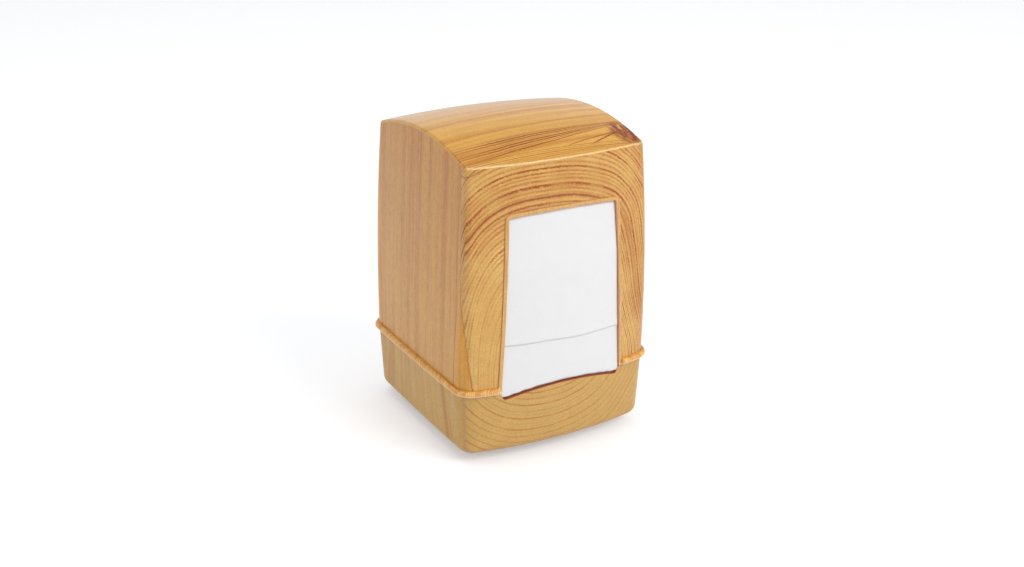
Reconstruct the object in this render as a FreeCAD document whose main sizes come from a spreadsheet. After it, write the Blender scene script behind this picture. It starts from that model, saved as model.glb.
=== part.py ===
import FreeCAD, Part

import math
import os
import re

import Sketcher

# A tabletop napkin dispenser: an arched cover with a window front and rear stands on a base tray.
# Inside, a centre tower with four coil springs presses two stacks of folded napkins to the windows.
# Millimetres. Z is up, the origin lies on the table under the middle, and the front faces -Y.
# The rear is the same as the front: a window, a stack and its pusher at each.

V = FreeCAD.Vector

SIZES = [
    # Overall body
    ("total_height", 155.0, "table to the apex of the cover"),
    ("foot_height", 4.5, "table to the underside of the base"),
    ("seam_height", 36.5, "table to the seam between base and cover"),
    ("waist_height", 97.0, "table to the middle outline of the cover"),
    ("seam_width", 102.9, "outline at the seam, left to right"),
    ("seam_depth", 110.7, "outline at the seam, front to rear"),
    ("seam_corner", 8.8, "upright corner radius there"),
    ("sole_width_taper", 2.7, "how much narrower the base's underside is than the seam"),
    ("sole_depth_taper", 3.3, "how much less deep it is"),
    ("sole_corner", 9.0, "upright corner radius there"),
    ("waist_width_taper", 3.5, "how much narrower the cover's waist is than the seam"),
    ("waist_depth_taper", 0.4, "how much less deep it is"),
    ("waist_corner", 5.0, "upright corner radius there"),
    ("crown_width_taper", 9.8, "how much narrower the outline just above the apex is"),
    ("crown_depth_taper", 9.8, "how much less deep it is"),
    ("crown_corner", 2.2, "upright corner radius there"),
    ("face_bow_radius", 205.0, "plan radius of the bowed front and rear"),
    ("side_bow_radius", 2000.0, "plan radius of the nearly flat sides"),
    ("vault_radius", 146.5, "arch of the top, front to rear"),
    ("ridge_radius", 530.0, "arch of the top, left to right"),
    ("vault_allowance", 2.0, "height of the crown outline above the apex"),
    ("vault_edge_radius", 1.4, "rounding of the top edges"),
    ("sole_edge_radius", 5.0, "rounding of the base's bottom edge"),
    ("least_corner", 1.0, "smallest upright corner radius inside a wall"),
    # Cover
    ("cover_wall", 2.2, "wall of the cover"),
    ("bead_reach", 2.15, "how far the bead round the rim stands out"),
    ("bead_height", 3.0, "height of the bead"),
    ("bead_rounding", 1.45, "radius of the bead's outer edges"),
    ("window_foot_width", 65.6, "window width just under the cover's rim"),
    ("window_foot_height", 34.5, "table to where that width is measured"),
    ("window_head_width", 57.0, "window width at its top corners"),
    ("window_head_drop", 33.6, "apex of the cover down to the window's top corners"),
    ("window_head_rise", 1.2, "rise of the window's arched top"),
    ("window_corner", 1.6, "radius of the window's top corners"),
    ("frame_width", 1.6, "raised frame round the window"),
    ("frame_reach", 0.5, "how far that frame stands out"),
    # Base tray
    ("base_wall", 2.2, "wall of the base"),
    ("base_floor", 3.0, "floor of the base"),
    ("tray_edge_radius", 1.8, "rounding inside the base between wall and floor"),
    ("lip_crown_height", 36.1, "table to the middle of the base's front lip"),
    ("lip_foot_height", 32.7, "table to the low ends of that lip"),
    ("lip_foot_width", 58.6, "between the low ends of the lip"),
    ("lip_corner", 2.0, "radius between lip and its slanted side"),
    ("lip_side_angle", 62.0, "slant of that side from level"),
    ("lip_side_gap", 0.3, "between the slant's top and the window's side"),
    ("lip_allowance", 2.0, "wall kept above the lip before it is trimmed"),
    ("collar_clearance", 0.25, "between the collar and the inside of the cover"),
    ("collar_wall", 1.6, "thickness of the collar"),
    ("collar_height", 6.0, "collar above the seam"),
    ("collar_root", 6.0, "collar's thick root below the seam"),
    ("collar_draft", 0.4, "how far the collar leans in at its top"),
    ("collar_end_gap", 18.35, "from the seam's front or rear to the collar's end"),
    # Feet
    ("foot_diameter", 9.6, "clear bumper foot"),
    ("foot_seat_depth", 0.6, "recess that a foot is stuck into"),
    ("foot_clearance", 0.2, "round a foot in its recess"),
    ("foot_rounding", 1.0, "lower edge of a foot"),
    ("foot_inset_across", 13.25, "from the seam's side to the middle of a foot"),
    ("foot_inset_along", 21.05, "from the seam's front or rear to the middle of a foot"),
    # Track plate
    ("track_thickness", 1.6, "plate on the base floor"),
    ("track_side_gap", 2.6, "between the plate and the walls of the base"),
    ("slot_width", 6.4, "guide slot for a pusher's shoe"),
    ("slot_spacing", 50.0, "between the left and right slots"),
    ("slot_end_gap", 0.5, "from a shoe to the slot's inner end when pressed right back"),
    ("slot_outer_gap", 10.35, "from the seam's front or rear to a slot's outer end"),
    # Spring tower
    ("tower_side_gap", 7.25, "between the tower and the cover's sides, at the seam"),
    ("tower_drop", 24.0, "apex of the cover down to the top of the tower"),
    ("tower_thickness", 2.6, "tower plate, front to rear"),
    ("tower_foot_depth", 18.0, "foot of the tower, front to rear"),
    ("tower_foot_thickness", 4.0, "foot of the tower"),
    ("tower_corner", 8.0, "rounded top corners of the tower and pushers"),
    ("tower_rib_width", 2.0, "upright rib of the tower"),
    ("tower_rib_depth", 6.5, "how far a rib reaches from the middle"),
    ("tower_rib_inset", 9.0, "from the tower's side to the middle of a rib"),
    ("boss_diameter", 7.0, "screw boss in the tower's foot"),
    ("boss_height", 10.0, "screw boss above the track plate"),
    # Screws
    ("screw_diameter", 2.9, "self-tapping screw"),
    ("screw_length", 12.0, "under the head"),
    ("screw_head_diameter", 5.6, "pan head"),
    ("screw_head_height", 1.7, "pan head"),
    ("screw_recess", 1.2, "recess for the head in the base's underside"),
    ("screw_clearance", 0.15, "round the screw and its head"),
    ("screw_bite", 0.04, "between the screw and its boss"),
    ("screw_inset_across", 12.0, "from the side of the tower's foot to a screw"),
    ("screw_inset_along", 4.2, "from the front or rear of the tower's foot to a screw"),
    # Napkins
    ("napkin_side_gap", 5.25, "between the napkins and the cover's sides, at the seam"),
    ("napkin_drop", 22.1, "apex of the cover down to the top of the napkins"),
    ("napkin_clearance", 0.3, "between napkins and the walls in front of them"),
    ("top_napkin_thickness", 0.9, "the folded napkin in the window"),
    ("stack_depth", 22.5, "the napkins behind it, at the middle"),
    ("stack_gap", 0.3, "under the napkins, and between them and the pusher"),
    # Pushers
    ("pusher_side_gap", 4.0, "how far the napkins reach past the pusher at each side"),
    ("pusher_drop", 33.1, "apex of the cover down to the top of a pusher"),
    ("pusher_thickness", 2.0, "pusher plate"),
    ("pusher_rib_depth", 3.0, "stiffening rim behind the plate"),
    ("pusher_rib_width", 1.8, "stiffening rim"),
    ("shoe_length", 12.0, "shoe in its slot, front to rear"),
    ("shoe_clearance", 0.2, "round a shoe"),
    ("pusher_travel", 12.0, "how far a loaded pusher can be pressed back"),
    # Springs
    ("spring_diameter", 17.0, "coil, middle of the wire"),
    ("spring_wire", 0.9, "wire"),
    ("spring_turns", 5.0, "turns of the coil"),
    ("spring_gap", 0.1, "between a coil's end and its seat"),
    ("spigot_length", 3.0, "spigot inside each end of a coil"),
    ("spigot_clearance", 0.6, "between spigot and wire"),
    ("low_spring_height", 47.0, "table to the axis of a lower spring"),
    ("high_spring_drop", 54.0, "apex of the cover down to the axis of an upper spring"),
]

size = {name: number for name, number, note in SIZES}

# Width and depth of the body's outline at each of its levels
OUTLINES = {
    "sole": ("seam_width - sole_width_taper", "seam_depth - sole_depth_taper"),
    "seam": ("seam_width", "seam_depth"),
    "waist": ("seam_width - waist_width_taper", "seam_depth - waist_depth_taper"),
    "crown": ("seam_width - crown_width_taper", "seam_depth - crown_depth_taper"),
}

# Heights above the table
SEAT_TOP = "foot_height + foot_seat_depth"
FLOOR_TOP = "foot_height + base_floor"
TRACK_TOP = f"{FLOOR_TOP} + track_thickness"
NAPKIN_LOW = f"{TRACK_TOP} + stack_gap"
CROWN = "total_height + vault_allowance"
SPRING_AXES = [("lower", "low_spring_height"), ("upper", "total_height - high_spring_drop")]

# Distances from the middle towards the front or rear window
STACK_BACK = "seam_depth / 2 - cover_wall - napkin_clearance - top_napkin_thickness - stack_depth"
PUSHER_FACE = f"{STACK_BACK} - stack_gap"
PUSHER_BACK = f"{PUSHER_FACE} - pusher_thickness"
SHOE_MIDDLE = f"{PUSHER_FACE} - pusher_thickness / 2"
SLOT_INNER = f"{SHOE_MIDDLE} - shoe_length / 2 - pusher_travel - slot_end_gap"
SLOT_OUTER = "seam_depth / 2 - slot_outer_gap"
SPIGOT_END = "tower_thickness / 2 + spigot_length"

# Widths and heights of the inner pieces
TOWER_WIDTH = "seam_width - 2 * cover_wall - 2 * tower_side_gap"
TOWER_HEIGHT = "total_height - tower_drop - foot_height - base_floor - track_thickness"
NAPKIN_WIDTH = "seam_width - 2 * cover_wall - 2 * napkin_side_gap"
NAPKIN_HEIGHT = f"total_height - napkin_drop - ({NAPKIN_LOW})"
NAPKIN_INSET = "cover_wall + napkin_clearance"
PUSHER_WIDTH = f"{NAPKIN_WIDTH} - 2 * pusher_side_gap"
PUSHER_HEIGHT = "total_height - pusher_drop - foot_height - base_floor - track_thickness - stack_gap"
SPIGOT = "spring_diameter - spring_wire - 2 * spigot_clearance"

# From the middle to each foot and each screw, across and along
FOOT_PLACE = ("seam_width / 2 - foot_inset_across", "seam_depth / 2 - foot_inset_along")
SCREW_PLACE = (
    f"({TOWER_WIDTH}) / 2 - screw_inset_across",
    "tower_foot_depth / 2 - screw_inset_along",
)
CORNERS = [(across, along) for along in (-1, 1) for across in (-1, 1)]

doc = FreeCAD.newDocument("napkin_dispenser")
sheet = doc.addObject("Spreadsheet::Sheet", "Sizes")
for row, (name, number, note) in enumerate(SIZES, 1):
    sheet.set(f"A{row}", name)
    sheet.set(f"B{row}", str(number))
    sheet.set(f"C{row}", note)
    sheet.setAlias(f"B{row}", name)
doc.recompute()


def bound(text):
    """The text with every size name in it written as its sheet cell."""
    return re.sub(r"\b[a-z]+(?:_[a-z]+)+\b", r"Sizes.\g<0>", text)


def bind(item, field, text):
    item.setExpression(field, bound(text))


def amount(text):
    """The value of a sum or difference of size names, each with a whole number before it or not."""
    terms = re.findall(r"(-?)\s*(?:(\d+) \* )?([a-z_]+)", text)
    return sum(float(f"{sign}{times or 1}") * size[name] for sign, times, name in terms)


def new_body(label):
    body = doc.addObject("PartDesign::Body", label)
    body.Label = label
    return body


def new_sketch(body, name, role, height=None):
    """A sketch on one of the body's own origin planes, raised along that plane's normal."""
    sketch = body.newObject("Sketcher::SketchObject", name)
    support = next(item for item in body.Origin.OriginFeatures if item.Role == role)
    sketch.AttachmentSupport = [(support, "")]
    sketch.MapMode = "FlatFace"
    if height:
        bind(sketch, "AttachmentOffset.Base.z", height)
    return sketch


def constrain(sketch, kind, *where, now=None, to=None):
    """Adds a constraint. One with a value starts at the drawn value and is tied to the sheet."""
    if now is None:
        sketch.addConstraint(Sketcher.Constraint(kind, *where))
    else:
        number = sketch.addConstraint(Sketcher.Constraint(kind, *where, now))
        bind(sketch, f"Constraints[{number}]", to)


def arc(centre, radius, start, end):
    circle = Part.Circle(V(centre[0], centre[1], 0), V(0, 0, 1), radius)
    return Part.ArcOfCircle(circle, start, end)


def line_to_circle(point, direction, centre, radius, leaving):
    """Where a line meets a circle: the point where it leaves the circle, or where it enters."""
    across = point[0] - centre[0]
    up = point[1] - centre[1]
    along = across * direction[0] + up * direction[1]
    half_chord = math.sqrt(along**2 - across**2 - up**2 + radius**2)
    step = -along + half_chord if leaving else -along - half_chord
    return point[0] + step * direction[0], point[1] + step * direction[1]


def line(start, end):
    return Part.LineSegment(V(start[0], start[1], 0), V(end[0], end[1], 0))


def circle_meeting(first, first_radius, second, second_radius, outward):
    """Where two circles meet, on the side of the line of centres that outward points to."""
    across = second[0] - first[0]
    up = second[1] - first[1]
    apart = math.hypot(across, up)
    along = (apart**2 + first_radius**2 - second_radius**2) / (2 * apart)
    aside = math.sqrt(first_radius**2 - along**2)
    choices = [
        (
            first[0] + (along * across - turn * aside * up) / apart,
            first[1] + (along * up + turn * aside * across) / apart,
        )
        for turn in (1, -1)
    ]
    return max(choices, key=lambda point: point[0] * outward[0] + point[1] * outward[1])


def ring(body, name, height, level, inset=""):
    """The body's outline at one level, moved in by a sum of sizes: four bowed sides, four corners."""
    move = amount(inset)
    tail = f" - ({inset})" if inset else ""
    face = size["face_bow_radius"] - move
    side = size["side_bow_radius"] - move
    corner = max(size[f"{level}_corner"] - move, size["least_corner"])
    width, depth = OUTLINES[level]
    face_back = size["face_bow_radius"] - amount(depth) / 2
    side_back = size["side_bow_radius"] - amount(width) / 2
    middle = circle_meeting((0, -face_back), face - corner, (-side_back, 0), side - corner, (1, 1))
    steep = math.atan2(middle[1] + face_back, middle[0])
    shallow = math.atan2(middle[1], middle[0] + side_back)
    turn = math.pi
    sketch = new_sketch(body, name, "XY_Plane", height)
    sketch.addGeometry(
        [
            arc((-side_back, 0), side, -shallow, shallow),
            arc(middle, corner, shallow, steep),
            arc((0, -face_back), face, steep, turn - steep),
            arc((-middle[0], middle[1]), corner, turn - steep, turn - shallow),
            arc((side_back, 0), side, turn - shallow, turn + shallow),
            arc((-middle[0], -middle[1]), corner, turn + shallow, turn + steep),
            arc((0, face_back), face, turn + steep, 2 * turn - steep),
            arc((middle[0], -middle[1]), corner, 2 * turn - steep, 2 * turn - shallow),
        ],
        False,
    )
    for index in range(8):
        constrain(sketch, "Tangent", index, 2, (index + 1) % 8, 1)
    for index in (0, 4):
        constrain(sketch, "PointOnObject", index, 3, -1)
        constrain(sketch, "Radius", index, now=side, to=f"side_bow_radius{tail}")
    for index in (2, 6):
        constrain(sketch, "PointOnObject", index, 3, -2)
        constrain(sketch, "Radius", index, now=face, to=f"face_bow_radius{tail}")
    for index in (1, 3, 5, 7):
        corner_size = f"max({level}_corner{tail}; least_corner)"
        constrain(sketch, "Radius", index, now=corner, to=corner_size)
    side_centre = f"side_bow_radius - ({width}) / 2"
    face_centre = f"face_bow_radius - ({depth}) / 2"
    constrain(sketch, "DistanceX", 0, 3, -1, 1, now=side_back, to=side_centre)
    constrain(sketch, "DistanceX", -1, 1, 4, 3, now=side_back, to=side_centre)
    constrain(sketch, "DistanceY", 2, 3, -1, 1, now=face_back, to=face_centre)
    constrain(sketch, "DistanceY", -1, 1, 6, 3, now=face_back, to=face_centre)
    return sketch


def loft(body, name, outlines, ruled=False):
    """A solid through outlines, which run from the top down."""
    feature = body.newObject("PartDesign::AdditiveLoft", name)
    feature.Profile = outlines[0]
    feature.Sections = outlines[1:]
    feature.Ruled = ruled
    return feature


def pad(body, sketch, name, length, both_ways=False):
    feature = body.newObject("PartDesign::Pad", name)
    feature.Profile = sketch
    feature.SideType = "Symmetric" if both_ways else "One side"
    bind(feature, "Length", length)
    return feature


def boolean(kind, label, base, tool):
    result = doc.addObject(f"Part::{kind}", label)
    result.Label = label
    result.Base = base
    result.Tool = tool
    return result


def fuse(label, pieces):
    result = doc.addObject("Part::MultiFuse", label)
    result.Label = label
    result.Shapes = pieces
    return result


def edge_names(shape, wanted):
    return [f"Edge{i}" for i, edge in enumerate(shape.Edges, 1) if wanted(edge)]


def level_edge(height):
    """A test for edges that lie flat at one height."""

    def wanted(edge):
        box = edge.BoundBox
        return abs(box.ZMin - height) < 0.01 and abs(box.ZMax - height) < 0.01

    return wanted


def fillet(body, feature, name, edges, radius):
    rounding = body.newObject("PartDesign::Fillet", name)
    rounding.Base = (feature, edges)
    bind(rounding, "Radius", radius)
    return rounding


# ---- Outer shapes shared by several pieces ----


def cut_vault(body, inset=""):
    """Cuts the doubly arched top: an arc that runs left to right, turned about a low cross axis."""
    tail = f" - ({inset})" if inset else ""
    radius = size["ridge_radius"] - amount(inset)
    top = size["vault_radius"] - amount(inset)
    reach = size["seam_width"]
    roof = size["vault_radius"] + size["seam_depth"] / 2
    sketch = new_sketch(body, "vault", "XZ_Plane")
    bind(sketch, "AttachmentOffset.Base.y", "total_height - vault_radius")
    centre = top - radius
    spread = math.asin(reach / radius)
    low = centre + radius * math.cos(spread)
    sketch.addGeometry(
        [
            arc((0, centre), radius, math.pi / 2 - spread, math.pi / 2 + spread),
            line((-reach, low), (-reach, roof)),
            line((-reach, roof), (reach, roof)),
            line((reach, roof), (reach, low)),
        ],
        False,
    )
    constrain(sketch, "Coincident", 0, 2, 1, 1)
    constrain(sketch, "Coincident", 1, 2, 2, 1)
    constrain(sketch, "Coincident", 2, 2, 3, 1)
    constrain(sketch, "Coincident", 3, 2, 0, 1)
    constrain(sketch, "Vertical", 1)
    constrain(sketch, "Vertical", 3)
    constrain(sketch, "Horizontal", 2)
    constrain(sketch, "PointOnObject", 0, 3, -2)
    constrain(sketch, "Radius", 0, now=radius, to=f"ridge_radius{tail}")
    constrain(sketch, "DistanceY", 0, 3, -1, 1, now=-centre, to="ridge_radius - vault_radius")
    constrain(sketch, "DistanceX", 1, 2, 2, 2, now=2 * reach, to="2 * seam_width")
    constrain(sketch, "DistanceY", -1, 1, 2, 1, now=roof, to="vault_radius + seam_depth / 2")
    groove = body.newObject("PartDesign::Groove", "vault_cut")
    groove.Profile = sketch
    groove.ReferenceAxis = (sketch, ["H_Axis"])
    groove.Midplane = True
    groove.Angle = 180
    return groove


def cover_form(label, inset=""):
    """The cover's outer form, moved in by a sum of sizes, as a solid."""
    body = new_body(label)
    outlines = [
        ring(body, "crown_outline", CROWN, "crown", inset),
        ring(body, "waist_outline", "waist_height", "waist", inset),
        ring(body, "seam_outline", "seam_height", "seam", inset),
    ]
    loft(body, "walls", outlines)
    cut_vault(body, inset)
    return body


def base_form(label, inset="", floor="foot_height", edge_radius=""):
    """The base's outer form, moved in by a sum of sizes, from one floor to above the lip."""
    body = new_body(label)
    outlines = [
        ring(body, "rim_outline", "lip_crown_height + lip_allowance", "seam", inset),
        ring(body, "sole_outline", floor, "sole", inset),
    ]
    walls = loft(body, "walls", outlines)
    if edge_radius:
        doc.recompute()
        edges = edge_names(walls.Shape, level_edge(amount(floor)))
        fillet(body, walls, "sole_rounding", edges, edge_radius)
    return body


def window_prism(label, outset=""):
    """The window's outline, moved out by a sum of sizes, right through front and rear."""
    body = new_body(label)
    tail = f" + ({outset})" if outset else ""
    grow = amount(outset)
    foot = size["window_foot_width"] / 2 + grow
    head = size["window_head_width"] / 2 + grow
    low = size["window_foot_height"]
    high = size["total_height"] - size["window_head_drop"] + grow
    rise = size["window_head_rise"]
    corner = size["window_corner"] + grow
    arch = (head**2 + rise**2) / (2 * rise)
    centre = high + rise - arch
    lean = math.atan2(foot - head, high - low)
    direction = (-math.sin(lean), math.cos(lean))
    start = (foot - corner * direction[1], low + corner * direction[0])
    middle = line_to_circle(start, direction, (0, centre), arch - corner, leaving=True)
    steep = math.atan2(middle[1] - centre, middle[0])
    reach = math.hypot(middle[0] - start[0], middle[1] - start[1])
    top = (foot + reach * direction[0], low + reach * direction[1])
    sketch = new_sketch(body, "window", "XZ_Plane")
    sketch.addGeometry(
        [
            line((-foot, low), (foot, low)),
            line((foot, low), top),
            arc(middle, corner, lean, steep),
            arc((0, centre), arch, steep, math.pi - steep),
            arc((-middle[0], middle[1]), corner, math.pi - steep, math.pi - lean),
            line((-top[0], top[1]), (-foot, low)),
        ],
        False,
    )
    constrain(sketch, "Coincident", 0, 2, 1, 1)
    constrain(sketch, "Coincident", 5, 2, 0, 1)
    for index in (1, 2, 3, 4):
        constrain(sketch, "Tangent", index, 2, index + 1, 1)
    constrain(sketch, "Symmetric", 0, 1, 0, 2, -2)
    constrain(sketch, "Equal", 1, 5)
    constrain(sketch, "PointOnObject", 3, 3, -2)
    half_head = f"(window_head_width / 2{tail})"
    arch_size = f"({half_head}^2 + window_head_rise^2) / (2 * window_head_rise)"
    high_size = f"total_height - window_head_drop{tail}"
    top_size = f"({high_size} + window_head_rise)"
    fall_size = f"({high_size} - window_foot_height)"
    lean_size = f"atan((window_foot_width - window_head_width) / 2 / {fall_size})"
    for index in (2, 4):
        constrain(sketch, "Radius", index, now=corner, to=f"window_corner{tail}")
    constrain(sketch, "Radius", 3, now=arch, to=arch_size)
    constrain(sketch, "DistanceY", 3, 3, -1, 1, now=-centre, to=f"{arch_size} - {top_size}")
    width_size = f"window_foot_width + 2 * (0{tail})"
    constrain(sketch, "DistanceX", 0, 1, 0, 2, now=2 * foot, to=width_size)
    constrain(sketch, "DistanceY", -1, 1, 0, 1, now=low, to="window_foot_height")
    constrain(sketch, "Angle", 1, now=math.pi / 2 + lean, to=f"90 deg + {lean_size}")
    pad(body, sketch, "prism", "2 * seam_depth", both_ways=True)
    return body


def rim_trimmer(label):
    """What lies above the base's rim: level at the seam, with an arched lip in each window."""
    body = new_body(label)
    far = size["seam_width"]
    seam = size["seam_height"]
    roof = size["total_height"]
    drop = size["lip_crown_height"] - size["lip_foot_height"]
    arch = ((size["lip_foot_width"] / 2) ** 2 + drop**2) / (2 * drop)
    centre = size["lip_crown_height"] - arch
    corner = size["lip_corner"]
    slant = math.radians(size["lip_side_angle"])
    half = size["window_foot_width"] / 2 + size["lip_side_gap"]
    start = (half - corner * math.sin(slant), seam + corner * math.cos(slant))
    direction = (-math.cos(slant), -math.sin(slant))
    middle = line_to_circle(start, direction, (0, centre), arch + corner, leaving=False)
    reach = math.hypot(middle[0] - start[0], middle[1] - start[1])
    low = (half + reach * direction[0], seam + reach * direction[1])
    on_arch = math.atan2(middle[1] - centre, middle[0])
    low_turn = on_arch - math.pi
    side_turn = slant - math.pi / 2
    turn = math.pi
    sketch = new_sketch(body, "rim", "XZ_Plane")
    sketch.addGeometry(
        [
            line((-far, seam), (-half, seam)),
            line((-half, seam), (-low[0], low[1])),
            arc((-middle[0], middle[1]), corner, turn - side_turn, turn - low_turn),
            arc((0, centre), arch, on_arch, turn - on_arch),
            arc(middle, corner, low_turn, side_turn),
            line(low, (half, seam)),
            line((half, seam), (far, seam)),
            line((far, seam), (far, roof)),
            line((far, roof), (-far, roof)),
            line((-far, roof), (-far, seam)),
        ],
        False,
    )
    for index in (5, 6, 7, 8):
        constrain(sketch, "Coincident", index, 2, index + 1, 1)
    constrain(sketch, "Coincident", 9, 2, 0, 1)
    constrain(sketch, "Coincident", 0, 2, 1, 1)
    constrain(sketch, "Tangent", 1, 2, 2, 1)
    constrain(sketch, "Tangent", 2, 2, 3, 2)
    constrain(sketch, "Tangent", 3, 1, 4, 1)
    constrain(sketch, "Tangent", 4, 2, 5, 1)
    for index in (0, 6, 8):
        constrain(sketch, "Horizontal", index)
    for index in (7, 9):
        constrain(sketch, "Vertical", index)
    constrain(sketch, "Symmetric", 0, 2, 6, 1, -2)
    constrain(sketch, "Equal", 1, 5)
    constrain(sketch, "PointOnObject", 3, 3, -2)
    drop_size = "(lip_crown_height - lip_foot_height)"
    arch_size = f"(lip_foot_width^2 / 4 + {drop_size}^2) / (2 * {drop_size})"
    for index in (2, 4):
        constrain(sketch, "Radius", index, now=corner, to="lip_corner")
    constrain(sketch, "Radius", 3, now=arch, to=arch_size)
    constrain(sketch, "DistanceY", 3, 3, -1, 1, now=-centre, to=f"{arch_size} - lip_crown_height")
    gap_size = "window_foot_width + 2 * lip_side_gap"
    constrain(sketch, "DistanceX", 0, 2, 6, 1, now=2 * half, to=gap_size)
    constrain(sketch, "DistanceY", -1, 1, 0, 2, now=seam, to="seam_height")
    constrain(sketch, "Angle", 5, now=slant, to="lip_side_angle * 1 deg")
    constrain(sketch, "DistanceX", 0, 1, 0, 2, now=far - half, to=f"seam_width - ({gap_size}) / 2")
    constrain(sketch, "DistanceX", 6, 1, 6, 2, now=far - half, to=f"seam_width - ({gap_size}) / 2")
    constrain(sketch, "DistanceY", -1, 1, 7, 2, now=roof, to="total_height")
    pad(body, sketch, "prism", "2 * seam_depth", both_ways=True)
    return body


def band(label, low, high, inset, top_inset):
    """A block with the seam's outline between two heights, moved in at its foot and at its top."""
    body = new_body(label)
    outlines = [
        ring(body, "top_outline", high, "seam", top_inset),
        ring(body, "foot_outline", low, "seam", inset),
    ]
    loft(body, "walls", outlines)
    return body


def box(label, west, south, bottom, width, depth, height):
    """A block from its low corner, every number a text in size names."""
    block = doc.addObject("Part::Box", label)
    block.Label = label
    bind(block, "Placement.Base.x", west)
    bind(block, "Placement.Base.y", south)
    bind(block, "Placement.Base.z", bottom)
    bind(block, "Length", width)
    bind(block, "Width", depth)
    bind(block, "Height", height)
    return block


def post(label, x, y, z, diameter, length, along="z"):
    """A cylinder from the middle of its first face, along +Z or +Y."""
    cylinder = doc.addObject("Part::Cylinder", label)
    cylinder.Label = label
    if along == "y":
        cylinder.Placement = FreeCAD.Placement(V(0, 0, 0), FreeCAD.Rotation(V(1, 0, 0), -90))
    bind(cylinder, "Placement.Base.x", x)
    bind(cylinder, "Placement.Base.y", y)
    bind(cylinder, "Placement.Base.z", z)
    bind(cylinder, "Radius", f"({diameter}) / 2")
    bind(cylinder, "Height", length)
    return cylinder


# ---- Cover: an arched shell with a bead round its rim and a framed window front and rear ----


def make_cover():
    form = cover_form("cover_form")
    doc.recompute()
    top = max(form.Shape.Faces, key=lambda face: face.CenterOfMass.z)
    edges = edge_names(form.Shape, lambda edge: any(edge.isSame(other) for other in top.Edges))
    fillet(form, form.Tip, "vault_rounding", edges, "vault_edge_radius")
    bead = band("bead_form", "seam_height", "seam_height + bead_height", "-bead_reach", "-bead_reach")
    doc.recompute()
    low = level_edge(size["seam_height"])
    high = level_edge(size["seam_height"] + size["bead_height"])
    edges = edge_names(bead.Shape, lambda edge: low(edge) or high(edge))
    fillet(bead, bead.Tip, "bead_rounding", edges, "bead_rounding")
    frame_outline = window_prism("frame_outline", "frame_width")
    bead_run = boolean("Cut", "bead_run", bead, frame_outline)
    frame_skin = cover_form("frame_skin", "-frame_reach")
    frame = boolean("Common", "window_frames", frame_skin, frame_outline)
    solid = fuse("cover_solid", [form, bead_run, frame])
    shell = boolean("Cut", "cover_shell", solid, cover_form("cover_cavity", "cover_wall"))
    return boolean("Cut", "cover", shell, window_prism("window_outline"))


# ---- Base tray: floor and walls, a scooped lip in each window, and a collar inside the cover ----


def corner_posts(label, place, z, diameter, length):
    """Four equal cylinders, left and right, front and rear."""
    across, along = place
    return [
        post(f"{label}_{i}", f"{x} * ({across})", f"{y} * ({along})", z, diameter, length)
        for i, (x, y) in enumerate(CORNERS)
    ]


def make_base_tray():
    walls = base_form("base_form", edge_radius="sole_edge_radius")
    cavity = base_form("base_cavity", "base_wall", FLOOR_TOP, "tray_edge_radius")
    shell = boolean("Cut", "base_shell", walls, cavity)
    trimmed = boolean("Cut", "base_trimmed", shell, rim_trimmer("rim_trimmer"))
    root_low = "seam_height - collar_root"
    root_inset = "base_wall - collar_clearance"
    collar_inset = "cover_wall + collar_clearance"
    collar_top = "seam_height + collar_height"
    bore_inset = f"{collar_inset} + collar_wall"
    root = band("collar_root_form", root_low, "seam_height", root_inset, root_inset)
    rise_inset = f"{collar_inset} + collar_draft"
    rise = band("collar_rise_form", root_low, collar_top, collar_inset, rise_inset)
    bore_low = "seam_height - 2 * collar_root"
    bore_high = "seam_height + 2 * collar_height"
    bore = band("collar_bore_form", bore_low, bore_high, bore_inset, bore_inset)
    ring_shell = boolean("Cut", "collar_ring", fuse("collar_solid", [root, rise]), bore)
    span = box(
        "collar_span",
        "-seam_width",
        "collar_end_gap - seam_depth / 2",
        "foot_height",
        "2 * seam_width",
        "seam_depth - 2 * collar_end_gap",
        "total_height",
    )
    collar = boolean("Common", "collar", ring_shell, span)
    solid = fuse("base_solid", [trimmed, collar])
    seat_size = "foot_diameter + 2 * foot_clearance"
    cutters = corner_posts("foot_seat", FOOT_PLACE, "0", seat_size, SEAT_TOP)
    recess_size = "screw_head_diameter + 2 * screw_clearance"
    recess_top = "foot_height + screw_recess"
    cutters += corner_posts("screw_recess", SCREW_PLACE, "0", recess_size, recess_top)
    hole_size = "screw_diameter + 2 * screw_clearance"
    cutters += corner_posts("screw_hole", SCREW_PLACE, "0", hole_size, TRACK_TOP)
    return boolean("Cut", "base_tray", solid, fuse("base_drillings", cutters))


# ---- Feet: clear discs stuck into recesses under the base ----


def make_foot(label, across, along):
    body = new_body(label)
    sketch = new_sketch(body, "disc", "XY_Plane")
    sketch.addGeometry(Part.Circle(V(0, 0, 0), V(0, 0, 1), size["foot_diameter"] / 2), False)
    constrain(sketch, "Coincident", 0, 3, -1, 1)
    constrain(sketch, "Diameter", 0, now=size["foot_diameter"], to="foot_diameter")
    disc = pad(body, sketch, "thickness", SEAT_TOP)
    doc.recompute()
    fillet(body, disc, "rounding", edge_names(disc.Shape, level_edge(0)), "foot_rounding")
    bind(body, "Placement.Base.x", f"{across} * ({FOOT_PLACE[0]})")
    bind(body, "Placement.Base.y", f"{along} * ({FOOT_PLACE[1]})")
    return body


# ---- Track plate: it lies on the base floor and guides the pushers' shoes in four slots ----

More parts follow.
